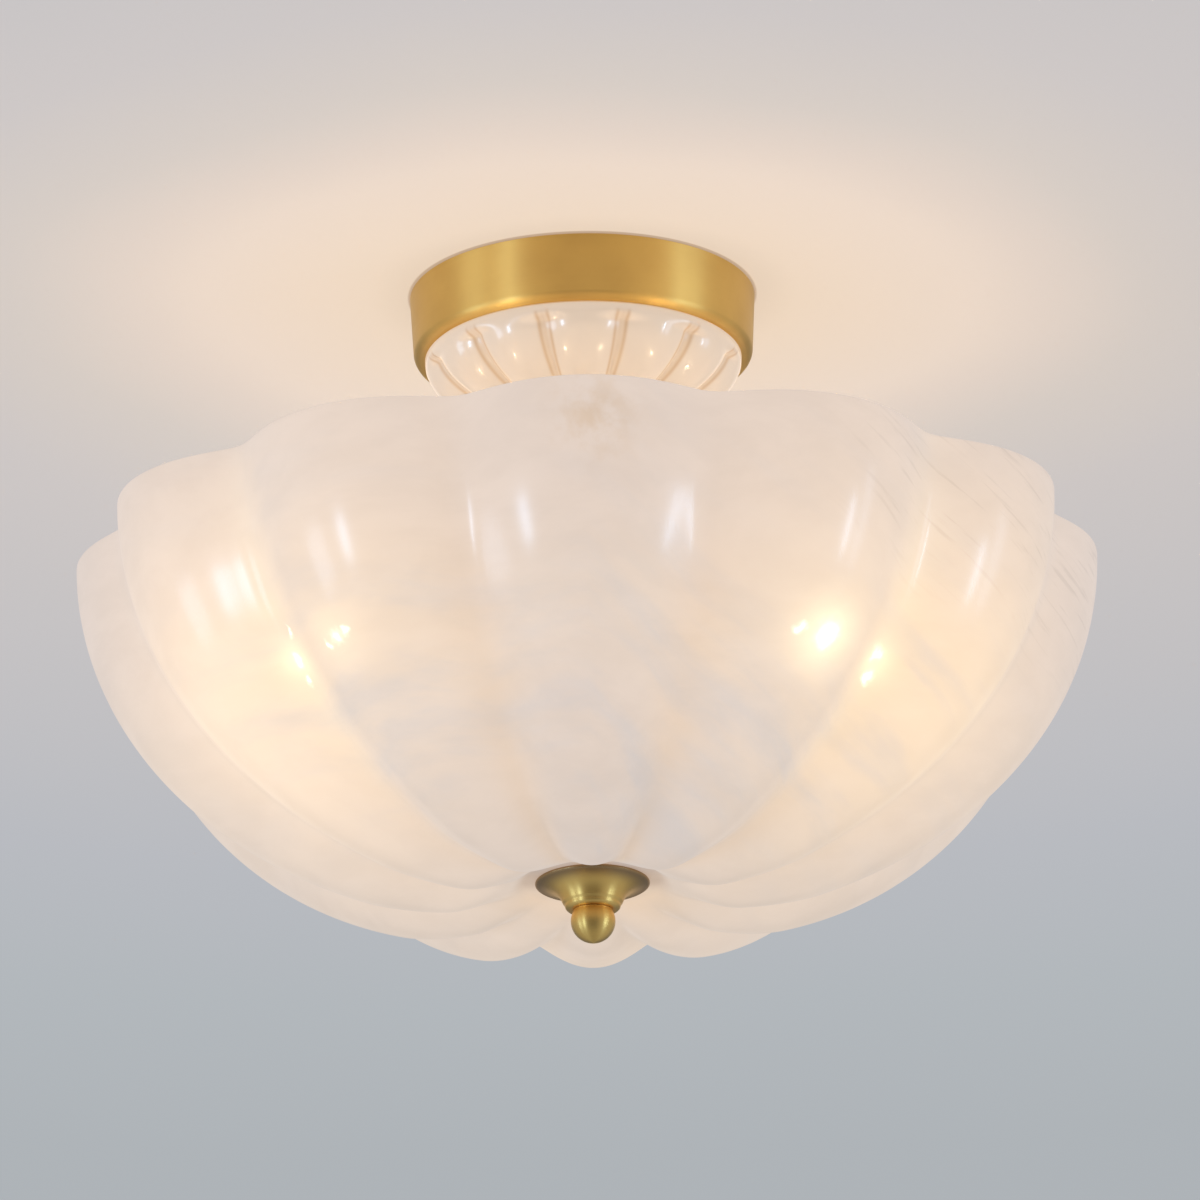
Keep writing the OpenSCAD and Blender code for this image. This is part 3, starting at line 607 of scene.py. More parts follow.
# Each finish: the function that makes it, its light and dark colour, its roughness, and what else that
# function takes
finishes = {
    # how fine the rings are, how much they streak, how brushed it is, and a tint by place, which paints
    # reflections on the finial
    "satinBrass": (turnedMetal, (0.81, 0.545, 0.165), (0.77, 0.51, 0.155), 0.44, 900, 0.08, 0.9),
    "innerBrass": (turnedMetal, (0.66, 0.45, 0.18), (0.55, 0.37, 0.15), 0.36),
    "finialBrass": (
        turnedMetal, (0.75, 0.515, 0.165), (0.66, 0.445, 0.135), 0.40, 1200, 0.08, 0.8, finialPaintedReflections,
    ),
    # how fine the grain is, and how deep
    "hubBrass": (plainMetal, (0.64, 0.44, 0.18), (0.56, 0.37, 0.15), 0.34, 300),
    "contactBrass": (plainMetal, (0.78, 0.58, 0.27), (0.68, 0.49, 0.22), 0.28, 220),
    "galvanisedSteel": (plainMetal, (0.58, 0.59, 0.60), (0.44, 0.45, 0.47), 0.42, 90, 0.00003),
    "zincSteel": (plainMetal, (0.66, 0.66, 0.64), (0.55, 0.55, 0.53), 0.30, 260),
    "capMetal": (plainMetal, (0.72, 0.71, 0.69), (0.62, 0.61, 0.59), 0.24, 240, 0.00001),
    "rodSteel": (plainMetal, (0.64, 0.64, 0.63), (0.50, 0.50, 0.49), 0.32, 400, 0.00001),
    # the pitch of its thread, in metres
    "pipeSteel": (threadMaterial, (0.62, 0.62, 0.61), (0.52, 0.52, 0.51), 0.34, 0.00094),
    # how fine the grain is, how glossy its coat, and how deep the grain
    "porcelain": (plainSolid, tone(232, 229, 222), tone(222, 219, 211), 0.22, 40, 0.8),
    "greenPaint": (plainSolid, tone(40, 120, 62), tone(30, 100, 50), 0.4, 300, 0.3, 0.00003),
    "nylon": (plainSolid, tone(226, 221, 205), tone(214, 208, 190), 0.5, 180),
    "blackLead": (plainSolid, tone(34, 34, 36), tone(24, 24, 26), 0.45, 200),
    "whiteLead": (plainSolid, tone(228, 227, 222), tone(214, 213, 207), 0.45, 200),
    "capInsulator": (plainSolid, tone(38, 34, 40), tone(26, 24, 30), 0.2, 150, 0.6),
    # one colour, the roughness, how dense it is face on, and the light painted on it as a glow
    "silicone": (clearMaterial, tone(214, 214, 208), 0.4, 0.55),
    # painted glow: the neck gasket shines warm, standing in for the glass's light coming through it
    "litSilicone": (clearMaterial, tone(214, 206, 190), 0.4, 0.8, (0.34, 0.20, 0.07)),
    "bulbGlass": (clearMaterial, tone(236, 240, 242), 0.03, 0.05),
    "bulbMount": (clearMaterial, tone(226, 232, 234), 0.08, 0.25),
    # what has a dictionary of its own
    "filament": (filamentMaterial,),
    "bowlGlass": (bowlMaterial,),
    "neckGlass": (neckMaterial,),
}
finish = {name: make(name, *values) for name, (make, *values) in finishes.items()}
print("materials made")


# Shapes: all sizes in millimetres, turned into metres by skin
def curvePoint(a, b, c, d, t):
    a, b, c, d = (np.array(point, float) for point in (a, b, c, d))
    return (1 - t) ** 3 * a + 3 * (1 - t) ** 2 * t * b + 3 * (1 - t) * t * t * c + t**3 * d


def arc(centre, radius, start, end, count):  # angles in degrees
    angles = np.radians(np.linspace(start, end, count))
    return [(centre[0] + radius * math.cos(a), centre[1] + radius * math.sin(a)) for a in angles]


def shifted(origin, offsets):  # points that are given from an origin
    return [(origin[0] + x, origin[1] + y) for x, y in offsets]


# A closed profile with its corners rounded, apart from points on the axis
def eased(profile, radius, count):
    points = np.array(profile, float)
    nearlyStraight, onAxis, longest = -0.96, 0.001, 0.4  # the last as a share of the sides beside a corner
    rounded = []
    for i, point in enumerate(points):
        back, on = points[i - 1] - point, points[(i + 1) % len(points)] - point
        backLong, onLong = np.linalg.norm(back), np.linalg.norm(on)
        if point[0] < onAxis or back @ on / (backLong * onLong) < nearlyStraight:
            rounded.append(tuple(point))
            continue
        near = min(radius, longest * backLong, longest * onLong)
        start, end = point + back / backLong * near, point + on / onLong * near
        for t in np.linspace(0, 1, count):
            rounded.append(tuple((1 - t) ** 2 * start + 2 * t * (1 - t) * point + t * t * end))
    return rounded


# A closed skin over rings of points, the last ring joined to the first
def skin(name, rings, place=Matrix(), sharp=32):
    rings = np.array(rings, float)
    count, steps = rings.shape[:2]
    index = np.arange(count * steps).reshape(count, steps)
    beside, below = np.roll(index, -1, 1), np.roll(index, -1, 0)
    faces = np.stack([index, beside, np.roll(beside, -1, 0), below], -1).reshape(-1, 4)
    mesh = bpy.data.meshes.new(name)
    mesh.from_pydata((rings.reshape(-1, 3) * mm).tolist(), [], faces.tolist())
    form = bmesh.new()
    form.from_mesh(mesh)
    bmesh.ops.remove_doubles(form, verts=form.verts, dist=1e-7)  # closes the poles
    bmesh.ops.recalc_face_normals(form, faces=form.faces)
    form.to_mesh(mesh)
    form.free()
    mesh.transform(place)
    mesh.shade_smooth()
    mesh.set_sharp_from_angle(angle=math.radians(sharp))
    piece = bpy.data.objects.new(name, mesh)
    bpy.context.scene.collection.objects.link(piece)
    return piece


def roundAngles(steps):
    return np.linspace(0, 2 * math.pi, steps, endpoint=False)


# A turned piece, from its closed profile of (radius, height)
def lathe(name, profile, steps, place=Matrix()):
    angles = roundAngles(steps)
    rings = [[(r * math.cos(a), r * math.sin(a), z) for a in angles] for r, z in profile]
    return skin(name, rings, place)


# A tube or rod with a thread: radii gives crest and root at a height, and bore the hole's radius
def threaded(name, levels, radii, bore, pitch, steps, place=Matrix()):
    angles = roundAngles(steps)
    outer, inner = [], []
    for z in levels:
        crest, root = radii(z)
        share = 0.5 + 0.5 * np.cos(2 * math.pi * z / pitch - angles)
        for rings, radius in ((outer, root + (crest - root) * share), (inner, bore(z, share))):
            ring = [radius * np.cos(angles), radius * np.sin(angles), np.full(steps, z)]
            rings.append(np.stack(ring, -1))
    return skin(name, outer + inner[::-1], place, sharp=50)


def put(piece, material, body, slotName, *stoodFor):
    piece.data.materials.append(finish[material])
    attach(piece, body)
    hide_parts(*stoodFor)


# Glass: lobes along round arcs, with the creases between them a little softened
def lobe(angle, soft):  # 0 in a crease, 1 on a crest; soft is the rounding as a share of a lobe's height
    half = math.pi / glass["lobes"]
    side = angle - 2 * half * np.round(angle / (2 * half))
    sag = 1 + glass["arch"] - math.cos(half)
    radius = (math.sin(half) ** 2 + sag * sag) / (2 * sag)
    centre = 1 + glass["arch"] - radius
    reach = centre * np.cos(side) + np.sqrt(radius * radius - (centre * np.sin(side)) ** 2)
    height = np.maximum((reach - 1) / glass["arch"], 0)
    return (np.sqrt(height**2 + soft * soft) - soft) / (math.sqrt(1 + soft * soft) - soft)


def ease(x):
    t = min(max(x, 0), 1)
    return t * t * (3 - 2 * t)


def outward(line, i):
    along = np.array(line[min(i + 1, len(line) - 1)]) - np.array(line[max(i - 1, 0)])
    return np.array([-along[1], along[0]]) / np.linalg.norm(along)


def glassRing(point, normal, low, high, soft, wave=0.0):  # moved along its normal by low in the creases
    angles = roundAngles(glass["lobes"] * glass["steps"])
    slow = np.sin(glass["slowWaves"] * angles + point[1] / glass["slowRise"])
    fast = np.sin(glass["fastWaves"] * angles + 2 * np.sin(point[1] / glass["fastRise"]))
    shift = low + (high - low) * lobe(angles, soft) - wave * (2 + slow + fast)
    moved = np.array(point, float) + shift[:, None] * np.array(normal, float)
    return np.stack([moved[:, 0] * np.sin(angles), -moved[:, 0] * np.cos(angles), moved[:, 1]], -1)


def inwardAt(i, count, normal):  # the way to the inner skin: level at the rim, down at the seat
    return (1, 0) if i == 0 else (0, -1) if i == count - 1 else normal


bowl = {
    "radius": 191.7,
    "rim": -115.4,
    "seat": -250.3,
    "round": 149.8,  # how far the ellipse of the side reaches below the rim
    "turn": 89.5,  # radius where the side turns up to the seat
    "recess": 28,
    "sidePull": 15,  # how far the curve from the side to the seat follows each of them
    "seatPull": (11, -9.6),
    "sideSteps": 46,
    "turnSteps": 31,
    "wall": 4,
    "hole": 6.5,
    "holeEase": 0.4,
    "floor": 16,  # radius of the flat round the hole
    "lobeRim": 13.8,
    "lobeCentre": 4,
    "lobeFade": 30,  # over which the lobes rise from the recess
    "wave": 0.035,
    "calmRings": (6, 8),  # rings over which the waves rise from the rim and from the seat
    "soft": 0.42,
    "rimArc": (157.5, 22.5, 7),
}


def buildBowl():
    radius, rim, wall = bowl["radius"], bowl["rim"], bowl["wall"]
    sweep = np.linspace(0, math.acos(bowl["turn"] / radius), bowl["sideSteps"])
    line = [(radius * math.cos(t), rim - bowl["round"] * math.sin(t)) for t in sweep]
    last = np.array(line[-1])
    along = last - np.array(line[-2])
    along = along / np.linalg.norm(along)
    seat = np.array([bowl["recess"], bowl["seat"]])
    pulls = last + bowl["sidePull"] * along, seat + bowl["seatPull"]
    line += [tuple(curvePoint(last, *pulls, seat, t)) for t in np.linspace(0, 1, bowl["turnSteps"])[1:]]
    count = len(line)
    outer, inner = [], []
    for i, point in enumerate(line):
        normal = outward(line, i)
        inward = inwardAt(i, count, normal)
        high = bowl["lobeCentre"] + (bowl["lobeRim"] - bowl["lobeCentre"]) * point[0] / radius
        high = high * ease((point[0] - bowl["recess"]) / bowl["lobeFade"])
        calm = ease(i / bowl["calmRings"][0]) * ease((count - 1 - i) / bowl["calmRings"][1])
        outer.append(glassRing(point, normal, 0, high, bowl["soft"], bowl["wave"] * calm))
        inner.append(glassRing(np.array(point) - wall * np.array(inward), inward, 0, high, bowl["soft"]))
    hole, small, under, flat = bowl["hole"], bowl["holeEase"], bowl["seat"], bowl["floor"]
    bore = [(flat, under), (hole + small, under), (hole, under + small)]
    bore += [(hole, under + wall - small), (hole + small, under + wall), (flat, under + wall)]
    rings = outer + [glassRing(point, (0, -1), 0, 0, 1) for point in bore] + inner[::-1]
    lip = arc((radius - wall / 2, rim), wall / 2, *bowl["rimArc"])
    rings += [glassRing(point, (1, 0), 0, bowl["lobeRim"], bowl["soft"]) for point in lip]
    put(skin("bowl_glass", rings, sharp=60), "bowlGlass", "shade", "bowl_glass", "bowl")


buildBowl()

neck = {
    "radius": 64.2,
    "rim": -27.2,
    "seat": -59.2,
    "round": 33.34,  # how far the ellipse of the side reaches below the rim
    "seatRadius": 18,
    "steps": 44,
    "wall": 3.5,
    "hole": 5.5,
    "flute": 4.4,
    "band": 3,  # plain height below the rim
    "fluteRise": 4,  # and the height over which the flutes then rise
    "fluteFade": 20,  # and the width over which they fade out round the seat
    "soft": 0.05,
}


def buildNeck():
    radius, rim, wall = neck["radius"], neck["rim"], neck["wall"]
    sweep = np.linspace(0, math.acos(neck["seatRadius"] / radius), neck["steps"])
    line = [(radius * math.cos(t), rim - neck["round"] * math.sin(t)) for t in sweep]
    outer, inner = [], []
    for i, point in enumerate(line):
        normal = outward(line, i)
        inward = inwardAt(i, len(line), normal)
        deep = -neck["flute"] * ease((rim - point[1] - neck["band"]) / neck["fluteRise"])
        deep = deep * ease((point[0] - neck["seatRadius"]) / neck["fluteFade"])
        outer.append(glassRing(point, normal, deep, 0, neck["soft"]))
        inner.append(glassRing(np.array(point) - wall * np.array(inward), inward, deep, 0, neck["soft"]))
    bore = [(neck["hole"], neck["seat"]), (neck["hole"], neck["seat"] + wall)]
    rings = outer + [glassRing(point, (0, -1), 0, 0, 1) for point in bore] + inner[::-1]
    put(skin("neck_dish_glass", rings, sharp=60), "neckGlass", "base", "neck_glass", "neck_dish")


buildNeck()
print("glass made")


# The brass that shows: canopy, finial cup and ball
canopy = {
    "radius": 70,
    "height": 26.4,
    "wall": 1.2,
    "edge": 3,
    "draft": 1.2,
    "rimEase": 0.25,
    "hole": 5.1,
    "holeEase": 0.15,
    "floorRing": 40,
    "sidePoints": (0.25, 0.5, 0.75),
    "cornerSteps": (14, 10),  # outside and inside
    "sides": 192,
}


def buildCanopy():
    radius, wall, small, tiny = canopy["radius"], canopy["wall"], canopy["rimEase"], canopy["holeEase"]
    hole, flat, floor = canopy["hole"], canopy["floorRing"], -canopy["height"]
    corner = (radius - canopy["draft"] - canopy["edge"], canopy["edge"] - canopy["height"])
    shape = [(radius - small, 0), (radius, -small)]
    for t in canopy["sidePoints"]:
        shape.append((radius - canopy["draft"] * t, -small + (corner[1] + small) * t))
    shape += arc(corner, canopy["edge"], 0, -90, canopy["cornerSteps"][0])
    shape += [(flat, floor), (hole + tiny, floor), (hole, floor + tiny)]
    shape += [(hole, floor + wall - tiny), (hole + tiny, floor + wall), (flat, floor + wall)]
    shape += arc(corner, canopy["edge"] - wall, -90, 0, canopy["cornerSteps"][1]) + [(radius - wall, 0)]
    put(lathe("canopy_pan", shape, canopy["sides"]), "satinBrass", "base", "satin_brass", "canopy")


buildCanopy()

cup = {
    "radius": 22.9,
    "top": -250.6,
    "height": 11.9,
    "collar": 11.2,
    "recess": 18.4,
    "recessDeep": 1.3,
    "lead": 1.6,  # slope from the recess up to the lip
    # from the radius and the top; the flare's curve starts at the last of these
    "lip": [(-0.4, 0), (0, -0.4), (0, -1), (-0.6, -1.5)],
    # from the collar and the top: where the flare's curve is pulled to
    "flare": [(4.6, -2.4), (2.2, -5)],
    "flareSteps": 26,
    # from the collar and the foot; the flare's curve ends at the first of these
    "collarLine": [(0.8, 3.2), (0, 2.2), (-0.2, 1.1), (-0.9, 0.4), (-2, 0)],
    "hole": 3.5,
    "ease": 0.3,
    "sides": 144,
}


def buildCup():
    collar, hole, top, low = cup["collar"], cup["hole"], cup["top"], cup["top"] - cup["height"]
    *lip, start = shifted((cup["radius"], top), cup["lip"])
    end, *foot = shifted((collar, low), cup["collarLine"])
    pulls = shifted((collar, top), cup["flare"])
    flare = [tuple(curvePoint(start, *pulls, end, t)) for t in np.linspace(0, 1, cup["flareSteps"])]
    sunk = top - cup["recessDeep"]
    shape = [(hole, sunk), (cup["recess"], sunk), (cup["recess"] + cup["lead"], top)]
    shape = eased(shape + lip + flare + foot + [(hole, low)], cup["ease"], 3)
    put(lathe("finial_cup_flare", shape, cup["sides"]), "finialBrass", "cup", "finial_brass", "finial_cup")


buildCup()

ball = {
    "radius": 8.9,
    "centre": -267.1,
    "neck": 8,
    "neckTop": -262.6,
    "neckEase": 0.2,
    "hole": 3.225,
    "holeEnd": -271,
    "steps": 48,
    "sides": 128,
}


def buildBall():
    radius, centre, hole, top = ball["radius"], ball["centre"], ball["hole"], ball["neckTop"]
    meet = math.degrees(math.acos(ball["neck"] / radius))
    shape = [(hole, top), (ball["neck"] - ball["neckEase"], top), (ball["neck"], top - ball["neckEase"])]
    shape += arc((0, centre), radius, meet, -90, ball["steps"])[:-1]
    shape += [(0, centre - radius), (0, ball["holeEnd"]), (hole, ball["holeEnd"])]
    put(lathe("finial_ball", shape, ball["sides"]), "finialBrass", "knob", "finial_brass", "finial")


buildBall()
print("canopy and finial made")


# Lamps: holder, shell, bulb glass and cap of each. Heights are along the lamp's own axis.
lamp = {"count": 3, "cross": -0.144, "first": 90, "apart": 120, "tilt": 102}  # metres and degrees
holder = {
    "start": 32,
    "radius": 17.5,
    "mouth": 66,
    "floor": 40,
    "armEnd": 37,
    "bore": 13.9,
    "arm": 4.85,
    "wire": 3.3,
    "foot": [(9.6, 0), (10.6, 1), (11, 3.5), (14.5, 5.5)],  # radius, and height above the start
    "shoulder": [(-0.8, 9), (0, 12)],  # from the radius and the start
    "lip": [(0, -6), (1.2, -5), (1.6, -3), (1.2, -1), (0, 0)],  # from the radius and the mouth
    "ease": 0.9,
    "sides": 96,
}
shell = {
    "radius": 13.84,
    "root": 13.68,
    "inner": 13.38,
    "deep": 0.2,  # how far its thread shows inside
    "thread": (42, 62),
    "ends": (40.5, 64.5),
    "levels": 90,
    "sides": 64,
}
bulb = {
    "radius": 30,
    "centre": 123.3,
    "wall": 0.8,
    "neck": 12.5,
    "neckFrom": -4,  # from the holder's mouth
    "neckPull": 14,
    "globePull": 16,
    "below": 38,  # degrees below the globe's middle where the neck's curve meets it
    "globeFrom": -34,  # degrees from its middle, up to just short of its top
    "globeTo": 87,
    "steps": (25, 40),  # points along the neck and the globe
    "sides": 72,
    "cap": 13.05,
    "plain": 13,  # radius where the cap has no thread
    "root": 12.5,
    "thread": (49, 61),
    "foot": 46.7,  # the cap's shell narrows by its taper from the shoulder down to the foot
    "footTurn": 47.7,
    "shoulder": 48.8,
    "taper": 0.7,
    "pitch": 3.63,
    "capBore": 11.95,
    "mouthBore": 12.56,
    "levels": 80,
}


def lampPlace(i):  # lamp i's axis as +Z, from the point where the three axes cross
    turn = Matrix.Rotation(math.radians(lamp["first"] + lamp["apart"] * i), 4, "Z")
    tilt = Matrix.Rotation(math.radians(lamp["tilt"]), 4, "Y")
    return Matrix.Translation((0, 0, lamp["cross"])) @ turn @ tilt


def holderProfile():
    radius, mouth, start = holder["radius"], holder["mouth"], holder["start"]
    arm, wire, bore, floor, armEnd = (holder[key] for key in ("arm", "wire", "bore", "floor", "armEnd"))
    shape = [(arm, start)] + shifted((0, start), holder["foot"])
    shape += shifted((radius, start), holder["shoulder"]) + shifted((radius, mouth), holder["lip"])
    shape += [(bore, mouth), (bore, floor), (wire, floor), (wire, armEnd), (arm, armEnd)]
    return eased(shape, holder["ease"], 5)


def bulbLine(inset):
    radius, centre, mouth = bulb["radius"] - inset, bulb["centre"], holder["mouth"]
    thick, below = bulb["neck"] - inset, math.radians(bulb["below"])
    join = np.array([radius * math.cos(below), centre - radius * math.sin(below)])
    foot, lead = (thick, mouth + bulb["neckFrom"]), (thick, mouth + bulb["neckPull"])
    pull = join - bulb["globePull"] * np.array([math.sin(below), math.cos(below)])
    neckSteps, globeSteps = bulb["steps"]
    side = [tuple(curvePoint(foot, lead, pull, join, t)) for t in np.linspace(0, 1, neckSteps)]
    globe = arc((0, centre), radius, bulb["globeFrom"], bulb["globeTo"], globeSteps)
    return side + globe + [(0, centre + radius)]


def within(z, span):
    return span[0] < z < span[1]


def shellRadii(z):
    return shell["radius"], shell["root"] if within(z, shell["thread"]) else shell["radius"]


def shellBore(z, share):
    return shell["inner"] + shell["deep"] * share * within(z, shell["thread"])


def capRadii(z):
    if z < bulb["shoulder"]:
        radius = bulb["cap"] - bulb["taper"] * (bulb["shoulder"] - z) / (bulb["shoulder"] - bulb["foot"])
        return radius, radius
    return (bulb["cap"], bulb["root"]) if within(z, bulb["thread"]) else (bulb["plain"], bulb["plain"])


def capBore(z, share):
    return bulb["mouthBore"] if z > bulb["thread"][1] else bulb["capBore"]


def buildLamp(i):
    place, tag, body = lampPlace(i), str(i + 1), "bulb_" + str(i + 1)
    piece = lathe("lampholder_body_" + tag, holderProfile(), holder["sides"], place)
    put(piece, "porcelain", "base", "porcelain", "lampholder_" + tag)
    levels = np.linspace(*shell["ends"], shell["levels"])
    name = "screw_shell_thread_" + tag
    piece = threaded(name, levels, shellRadii, shellBore, bulb["pitch"], shell["sides"], place)
    put(piece, "contactBrass", "base", "contact_brass", "screw_shell_" + tag)
    line = bulbLine(0) + bulbLine(bulb["wall"])[::-1]
    piece = lathe("bulb_envelope_" + tag, line, bulb["sides"], place)
    put(piece, "bulbGlass", body, "bulb_glass", "bulb_glass_" + tag)
    levels = np.linspace(bulb["shoulder"], holder["mouth"], bulb["levels"])
    levels = [bulb["foot"], bulb["footTurn"], *levels]
    name = "bulb_cap_thread_" + tag
    piece = threaded(name, levels, capRadii, capBore, bulb["pitch"], bulb["sides"], place)
    put(piece, "capMetal", body, "cap_metal", "bulb_cap_" + tag)


for lampNumber in range(lamp["count"]):
    buildLamp(lampNumber)
print("lamps made")

rod = {
    "radius": 3.175,
    "root": 2.78,
    "top": -150.3,
    "end": -270.0,
    "pitch": 1.27,
    "turnLevels": 7,  # levels in one turn of the thread
    "sides": 28,
}


def rodRadii(z):
    return rod["radius"], rod["root"]


def noBore(z, share):  # the rod is solid
    return 0


def buildRod():
    count = int((rod["top"] - rod["end"]) / rod["pitch"] * rod["turnLevels"])
    levels = np.linspace(rod["end"], rod["top"], count)
    piece = threaded("centre_rod_thread", levels, rodRadii, noBore, rod["pitch"], rod["sides"])
    put(piece, "rodSteel", "base", "zinc_steel", "centre_rod")


buildRod()


# CAD nodes that keep their shape and get their finish
keptNodes = {
    "galvanisedSteel": ["crossbar"],
    "zincSteel": ["pipe_nuts", "canopy_washer", "arm_nuts", "rod_nuts", "hub_screws"],
    "pipeSteel": ["stem_pipe", "arm_1", "arm_2", "arm_3"],
    "innerBrass": ["neck_cap", "neck_collar", "stem_sleeve", "hub_cover", "bowl_washer"],
    "hubBrass": ["hub_body"],
    "contactBrass": ["centre_contact_1", "centre_contact_2", "centre_contact_3"],
    "capMetal": ["bulb_eyelet_1", "bulb_eyelet_2", "bulb_eyelet_3"],
    "greenPaint": ["ground_screw"],
    "nylon": ["terminal_block"],
    "blackLead": ["live_leads"],
    "whiteLead": ["neutral_leads"],
    "litSilicone": ["neck_gasket"],
    "silicone": ["neck_pad", "upper_gasket", "lower_gasket"],
    "bulbMount": ["bulb_stem_1", "bulb_stem_2", "bulb_stem_3"],
    "filament": ["led_filaments_1", "led_filaments_2", "led_filaments_3"],
    "capInsulator": ["bulb_insulator_1", "bulb_insulator_2", "bulb_insulator_3"],
}
for look, names in keptNodes.items():
    for name in names:
        for materialSlot in nodes[name].material_slots:
            materialSlot.material = finish[look]
print("CAD nodes finished")


# Ceiling and floor, which aren't part of the light; these and the world's sizes are in metres
room = {
    "ceiling": 0.0006,
    "floor": -2.6,
    "reach": 9.0,
    "sides": 96,
    "span": 2.4,  # radius that the wash of light is spread over
    "wash": [  # colour by the distance from the light's axis, as a share of the span
        (0.030, tone(235, 216, 195)),
        (0.064, tone(233, 217, 203)),
        (0.076, tone(226, 212, 201)),
        (0.095, tone(215, 206, 199)),
        (0.125, tone(208, 202, 200)),
        (0.296, tone(189, 191, 196)),
        (0.38, tone(183, 188, 192)),
        (0.48, tone(179, 184, 188)),
        (1.0, tone(173, 179, 185)),
    ],
    "mottle": 0.03,
    "line": tone(160, 120, 72),  # painted shade: the fine dark line where the canopy meets the ceiling
    "contactShadeRadii": (0.0713, 0.0702),
    "lineShare": 0.5,
    "closeRadii": (0.09, 0.07),  # a faint shade round the canopy
    "closeShade": 0.05,
    "ceilingBody": 0.25,  # shares of the wash that are paint and light
    "ceilingLight": 0.84,
    "floorShades": [tone(206, 208, 211), tone(198, 201, 205)],
    "floorLight": 0.4,
}


def disc(name, height, radius, flip):  # a round sheet that faces up, or down if flip is -1
    sides = room["sides"]
    mesh = bpy.data.meshes.new(name)
    angles = roundAngles(sides) * flip
    ring = [(radius * math.cos(a), radius * math.sin(a), height) for a in angles]
    mesh.from_pydata([(0, 0, height)] + ring, [], [(0, i + 1, (i + 1) % sides + 1) for i in range(sides)])
    sheet = bpy.data.objects.new(name, mesh)
    bpy.context.scene.collection.objects.link(sheet)
    return sheet


def oneWay(material, place, shader):  # seen from its face only
    back = place.make("ShaderNodeNewGeometry", {}, {}, "Backfacing")
    clear = place.make("ShaderNodeBsdfTransparent")
    return surface(material, place.make("ShaderNodeMixShader", {}, {0: back, 1: shader, 2: clear}))


def ceilingMaterial():
    material, place = startMaterial("ceilingPaint")
    mottle = (place.noise(3, detail=2) - 0.5) * room["mottle"]
    around = place.fromAxis()
    colour = (around * (1 / room["span"]) + mottle).ramp(room["wash"])
    # painted shades: a faint one round the canopy, and the fine dark line where it meets the ceiling
    colour = colour * (1 - around.step(*room["closeRadii"]) * room["closeShade"])
    colour = (around.step(*room["contactShadeRadii"]) * room["lineShare"]).blend(colour, room["line"])
    return oneWay(material, place, place.make("ShaderNodeBsdfPrincipled", {}, {
        "Base Color": colour * room["ceilingBody"],
        "Roughness": 0.9,
        "Specular IOR Level": 0.0,
        "Emission Color": colour * room["ceilingLight"],
        "Emission Strength": 1.0,
    }))


def floorMaterial():
    material, place = startMaterial("floorPaint")
    shade = place.noise(1.5, detail=2).blend(*room["floorShades"])
    return oneWay(material, place, place.make("ShaderNodeBsdfPrincipled", {}, {
        "Base Color": shade,
        "Roughness": 0.8,
        "Emission Color": shade * room["floorLight"],
        "Emission Strength": 1.0,
    }))


def buildRoom():
    ceiling = disc("ceiling", room["ceiling"], room["reach"], -1)
    ceiling.data.materials.append(ceilingMaterial())
    floor = disc("floor", room["floor"], room["reach"], 1)
    floor.data.materials.append(floorMaterial())
    floor.visible_glossy = False
    for sheet in (ceiling, floor):
        sheet.visible_shadow = False
        sheet.visible_diffuse = False


buildRoom()

# World and lamps
studio = {
    "sky": (0.46, 0.45, 0.45),
    "front": 0.22,  # how much of the sky's light comes from the side of the camera
    "frontAim": (0, -0.94, -0.34),
    "frontReach": (0.9, 0.3),
    "behind": 0.45,  # and from the far side
    "behindAim": (0, 1, 0.1),
    "behindReach": (1.15, 0.45),
    "background": tone(190, 191, 193),
    "boxes": [  # degrees round from the front, degrees below the light, watts, width, height
        (-77, -18, 5.6, 0.62, 0.6),
        (-50, -19, 7.4, 0.26, 0.5),
        (79, -9, 3.5, 0.30, 1.0),
        (67, -14, 5.4, 0.05, 0.6),
    ],
    "daylight": (0.5, 0.72, 1.0),
    "away": 2.2,
    "middle": (0, 0, -0.18),
    "bulbWatts": 0.08,
    "bulbColour": (1.0, 0.78, 0.52),
    "bulbSize": 0.005,
}


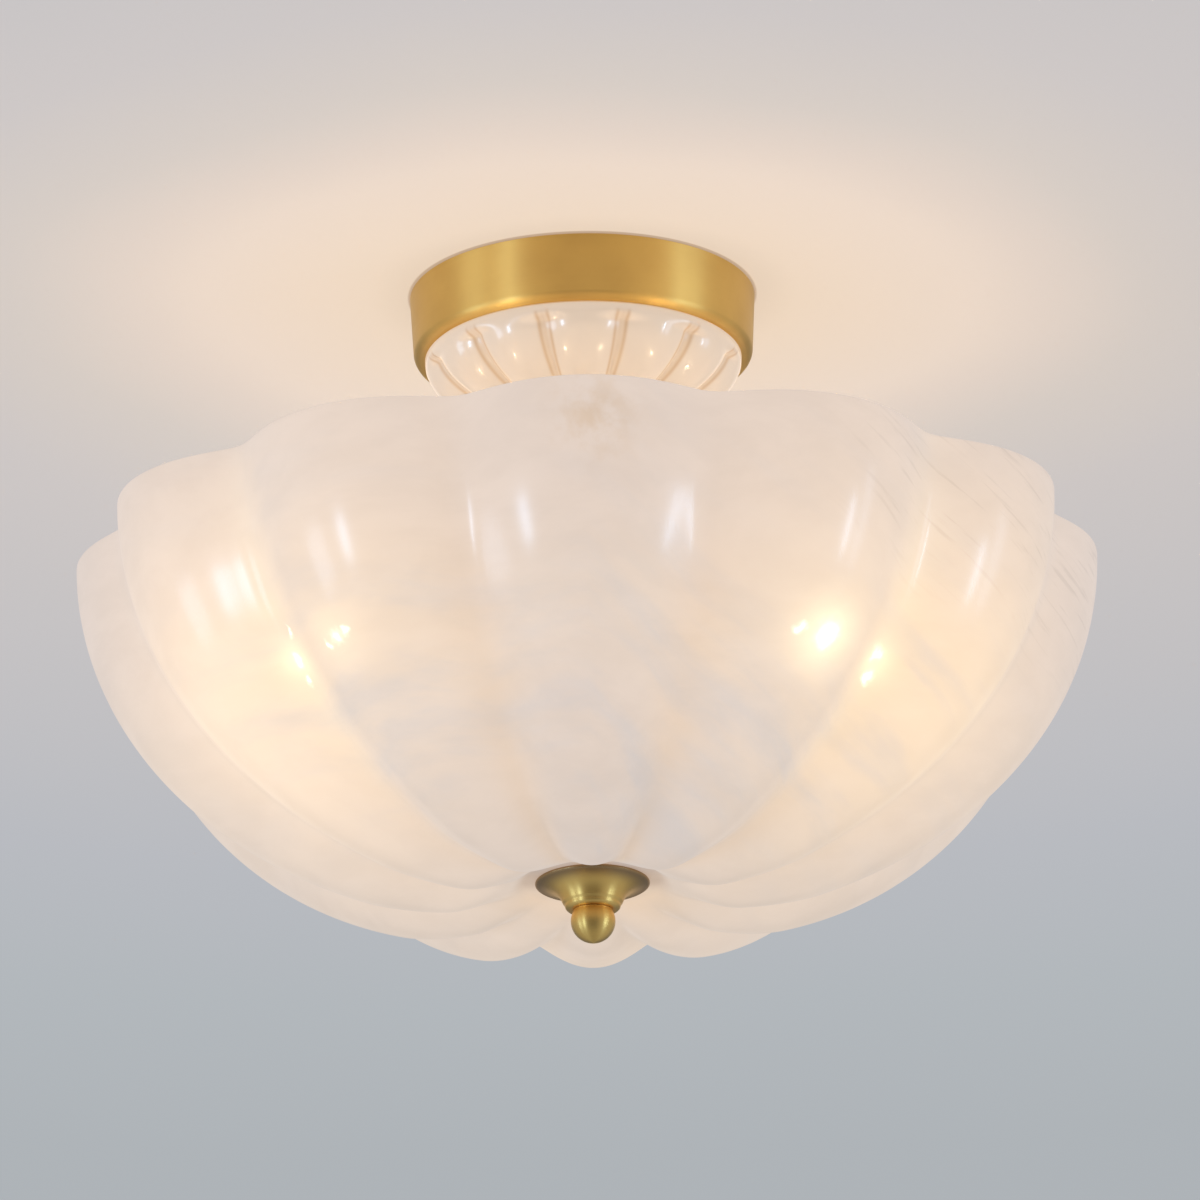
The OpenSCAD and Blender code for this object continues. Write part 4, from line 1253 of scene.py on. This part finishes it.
def buildWorld():
    world = bpy.data.worlds.new("studio")
    world.use_nodes = True
    world.node_tree.nodes.clear()
    direction = Signal(world.node_tree.nodes.new("ShaderNodeTexCoord").outputs["Generated"])
    front = direction.far(studio["frontAim"]).step(*studio["frontReach"])  # 1 where the camera stands
    behind = direction.far(studio["behindAim"]).step(*studio["behindReach"])  # 1 on the far side
    direct = direction.make("ShaderNodeLightPath", {}, {}, "Is Camera Ray")
    mirrored = direction.make("ShaderNodeLightPath", {}, {}, "Is Glossy Ray")
    through = direction.make("ShaderNodeLightPath", {}, {}, "Is Transmission Ray")
    seen = direct.maths("MAXIMUM", direct, mirrored.maths("MAXIMUM", mirrored, through))
    dark = (1 - front * (1 - studio["front"])) * (1 - behind * (1 - studio["behind"]))
    sky = seen.blend(studio["sky"], studio["background"]) * (direct + (1 - direct) * dark)
    light = direction.make("ShaderNodeBackground", {}, {"Color": sky, "Strength": 1.0})
    surface(world, light, "ShaderNodeOutputWorld")
    bpy.context.scene.world = world


buildWorld()


def addLight(name, kind, watts, colour, place, settings):
    data = bpy.data.lights.new(name, kind)
    data.energy = watts
    data.color = colour
    for key, value in settings.items():
        setattr(data, key, value)
    light = bpy.data.objects.new(name, data)
    light.location = place
    bpy.context.scene.collection.objects.link(light)
    return light


def buildLights():
    for i, (around, below, watts, width, height) in enumerate(studio["boxes"]):
        a, b = math.radians(around), math.radians(below)
        toward = Vector((math.sin(a) * math.cos(b), -math.cos(a) * math.cos(b), math.sin(b)))
        place = Vector(studio["middle"]) + toward * studio["away"]
        form = {"shape": "RECTANGLE", "size": width, "size_y": height}
        window = addLight("window_" + str(i + 1), "AREA", watts, studio["daylight"], place, form)
        window.rotation_euler = toward.to_track_quat("Z", "Y").to_euler()
        window.visible_camera = False
    for i in range(lamp["count"]):
        place = lampPlace(i) @ Vector((0, 0, bulb["centre"] * mm))
        form = {"shadow_soft_size": studio["bulbSize"]}
        name = "bulb_light_" + str(i + 1)
        addLight(name, "POINT", studio["bulbWatts"], studio["bulbColour"], place, form)


buildLights()
print("room and lamps made")
